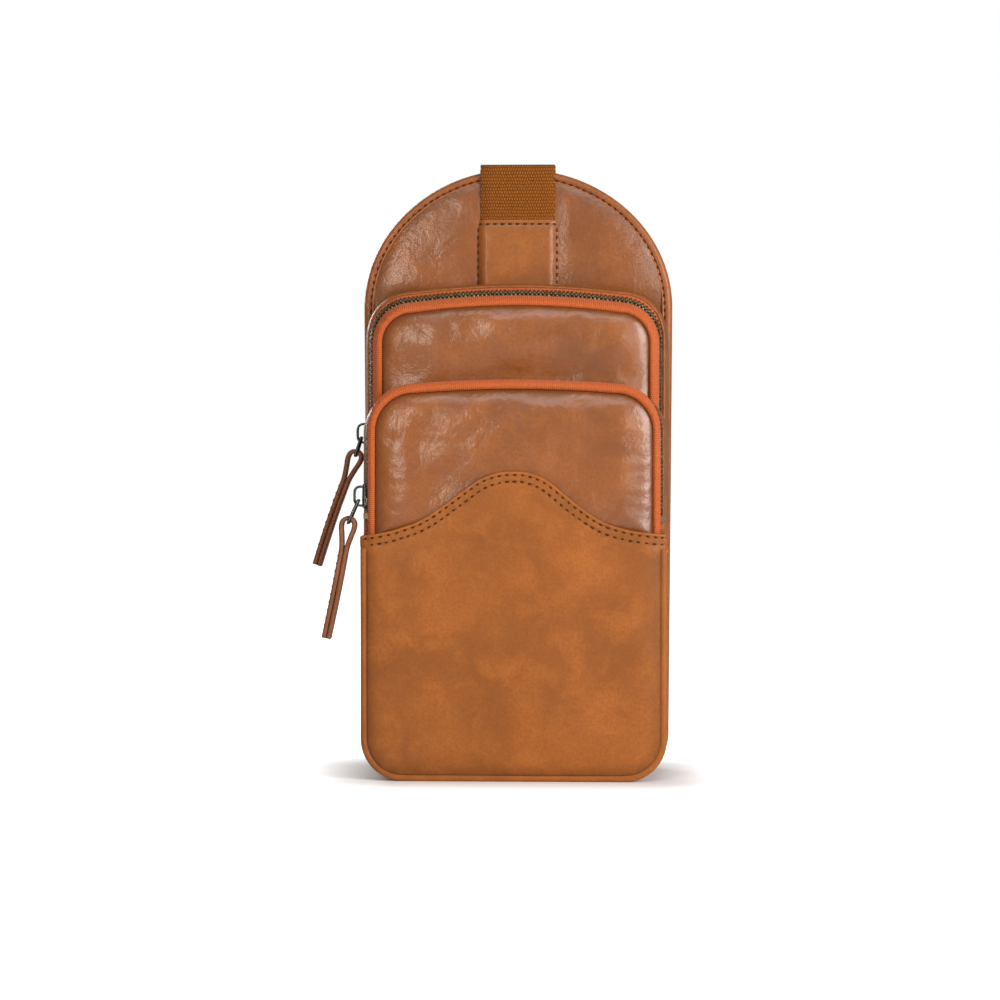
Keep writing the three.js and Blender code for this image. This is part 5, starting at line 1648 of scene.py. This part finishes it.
def make_floor():
    """Paper that glows white to the camera, but not close round the bag, where it takes the shadow."""
    bpy.ops.mesh.primitive_plane_add(size=9)
    floor = bpy.context.object
    floor.name = "floor"
    paper, tree, bsdf = new_material("Pale paper")
    bsdf.inputs["Roughness"].default_value = 0.9
    bsdf.inputs["Specular IOR Level"].default_value = 0.1
    bsdf.inputs["Base Color"].default_value = (0.9, 0.9, 0.9, 1)
    bsdf.inputs["Emission Color"].default_value = (1, 1, 1, 1)
    spot = add(tree, "ShaderNodeSeparateXYZ", {0: add(tree, "ShaderNodeTexCoord").outputs["Object"]})
    squares = []
    for i, reach in ((0, BOX_W / 1000 - 0.012), (1, 0.03)):
        past = maths(tree, "SUBTRACT", maths(tree, "ABSOLUTE", spot.outputs[i]), reach)
        past = maths(tree, "MAXIMUM", past, 0.0)
        squares.append(maths(tree, "MULTIPLY", past, past))
    away = maths(tree, "SQRT", maths(tree, "ADD", *squares))
    seen = add(tree, "ShaderNodeLightPath").outputs["Is Camera Ray"]
    glow = maths(tree, "MULTIPLY", ramp(tree, away, 0.0, 0.07), seen)
    tree.links.new(glow, bsdf.inputs["Emission Strength"])
    floor.data.materials.append(paper)


def make_world():
    """A white room to the camera, and a weak fill light to everything else."""
    world = bpy.data.worlds.new("Studio")
    world.use_nodes = True
    tree = world.node_tree
    tree.nodes.clear()
    fill = add(tree, "ShaderNodeBackground", values={"Color": (1, 1, 1, 1), "Strength": 0.2})
    backdrop = add(tree, "ShaderNodeBackground", values={"Color": (1, 1, 1, 1), "Strength": 1.0})
    seen = add(tree, "ShaderNodeLightPath").outputs["Is Camera Ray"]
    both = add(tree, "ShaderNodeMixShader", {0: seen, 1: fill.outputs[0], 2: backdrop.outputs[0]})
    add(tree, "ShaderNodeOutputWorld", {"Surface": both.outputs[0]})
    bpy.context.scene.world = world
    bpy.context.scene.view_settings.view_transform = "Standard"


def aim(name, data, where, target):
    """Puts a light or a camera in the scene, turned to face a point."""
    obj = bpy.data.objects.new(name, data)
    bpy.context.scene.collection.objects.link(obj)
    obj.location = where
    obj.rotation_euler = (Vector(target) - Vector(where)).to_track_quat("-Z", "Y").to_euler()
    return obj


def make_lights():
    for name, where, target, size, power, tint in LIGHTS:
        light = bpy.data.lights.new(name, "AREA")
        light.shape = "RECTANGLE"
        light.size, light.size_y = size
        light.energy = power
        light.color = tint
        aim(name, light, where, target)


def make_camera():
    camera = bpy.data.cameras.new("Camera")
    camera.lens = CAMERA_LENS
    camera.sensor_width = 36
    camera.clip_end = 50
    level = math.cos(CAMERA_ELEVATION)
    away = Vector((
        math.sin(CAMERA_AZIMUTH) * level, -math.cos(CAMERA_AZIMUTH) * level, math.sin(CAMERA_ELEVATION)
    ))
    where = CAMERA_TARGET + CAMERA_DISTANCE * away
    bpy.context.scene.camera = aim("Camera", camera, where, CAMERA_TARGET)


# ---- operators -----------------------------------------------------------------------------------
class BAG_OT_stage(bpy.types.Operator):
    """Makes the floor, the lights and the camera"""

    bl_idname = "bag.stage"
    bl_label = "Stage"

    def execute(self, context):
        make_floor()
        make_world()
        make_lights()
        make_camera()
        return {"FINISHED"}


class BAG_OT_back_panel(bpy.types.Operator):
    """Makes the arched back panel, its padding and its stitched binding"""

    bl_idname = "bag.back_panel"
    bl_label = "Back panel"

    def execute(self, context):
        make_back_panel()
        return {"FINISHED"}


class BAG_OT_main_compartment(bpy.types.Operator):
    """Makes the main gusset, the divider and the linings"""

    bl_idname = "bag.main_compartment"
    bl_label = "Main compartment"

    def execute(self, context):
        make_main_compartment()
        make_divider()
        refinish("base_board", "board")
        return {"FINISHED"}


class BAG_OT_main_flap(bpy.types.Operator):
    """Makes the main compartment's folding front"""

    bl_idname = "bag.main_flap"
    bl_label = "Main flap"

    def execute(self, context):
        make_main_flap()
        return {"FINISHED"}


class BAG_OT_zips(bpy.types.Operator):
    """Makes both zips' tapes and teeth"""

    bl_idname = "bag.zips"
    bl_label = "Zips"

    def execute(self, context):
        make_main_zip()
        make_pocket_zip()
        return {"FINISHED"}


class BAG_OT_pulls(bpy.types.Operator):
    """Makes both sliders with their wire links and leather pulls"""

    bl_idname = "bag.pulls"
    bl_label = "Sliders and pulls"

    def execute(self, context):
        make_slider("main", "main_slider")
        make_slider("pocket", "pocket_slider")
        make_pull("main", "main_link", "main_pull")
        make_pull("pocket", "pocket_link", "pocket_pull")
        return {"FINISHED"}


class BAG_OT_pocket(bpy.types.Operator):
    """Makes the front pocket's gusset, piping and skins"""

    bl_idname = "bag.pocket"
    bl_label = "Front pocket"

    def execute(self, context):
        make_pocket_box()
        make_lower_panel()
        make_pocket_flap()
        return {"FINISHED"}


class BAG_OT_strap(bpy.types.Operator):
    """Makes the webbing, its adjuster, ring, tab and patch"""

    bl_idname = "bag.strap"
    bl_label = "Shoulder strap"

    def execute(self, context):
        make_webbing()
        make_adjuster()
        make_ring()
        make_patch()
        return {"FINISHED"}


OPERATORS = (
    BAG_OT_stage, BAG_OT_back_panel, BAG_OT_main_compartment, BAG_OT_main_flap,
    BAG_OT_zips, BAG_OT_pulls, BAG_OT_pocket, BAG_OT_strap,
)


class BAG_PT_panel(bpy.types.Panel):
    """The bag's pieces and settings."""

    bl_label = "Sling bag"
    bl_idname = "BAG_PT_panel"
    bl_space_type = "VIEW_3D"
    bl_region_type = "UI"
    bl_category = "Sling bag"

    def draw(self, context):
        for name in SETTINGS:
            group = getattr(context.scene, name)
            for key in group.__annotations__:
                self.layout.prop(group, key)
        for kind in OPERATORS:
            self.layout.operator(kind.bl_idname)


SETTINGS = {
    "bag_leather": LeatherSettings, "bag_zips": ZipSettings,
    "bag_seams": SeamSettings, "bag_strap": StrapSettings,
}


def register():
    for kind in (*SETTINGS.values(), *OPERATORS, BAG_PT_panel):
        bpy.utils.register_class(kind)
    for name, kind in SETTINGS.items():
        setattr(bpy.types.Scene, name, PointerProperty(type=kind))


def unregister():
    for name in SETTINGS:
        delattr(bpy.types.Scene, name)
    for kind in (BAG_PT_panel, *reversed(OPERATORS), *SETTINGS.values()):
        bpy.utils.unregister_class(kind)


def main():
    register()
    for kind in OPERATORS:
        area, name = kind.bl_idname.split(".")
        getattr(getattr(bpy.ops, area), name)()
    for obj in [o for o in bpy.data.objects if o.name.startswith("proto_")]:
        bpy.data.objects.remove(obj)
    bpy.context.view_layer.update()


if __name__ == "__main__":
    main()
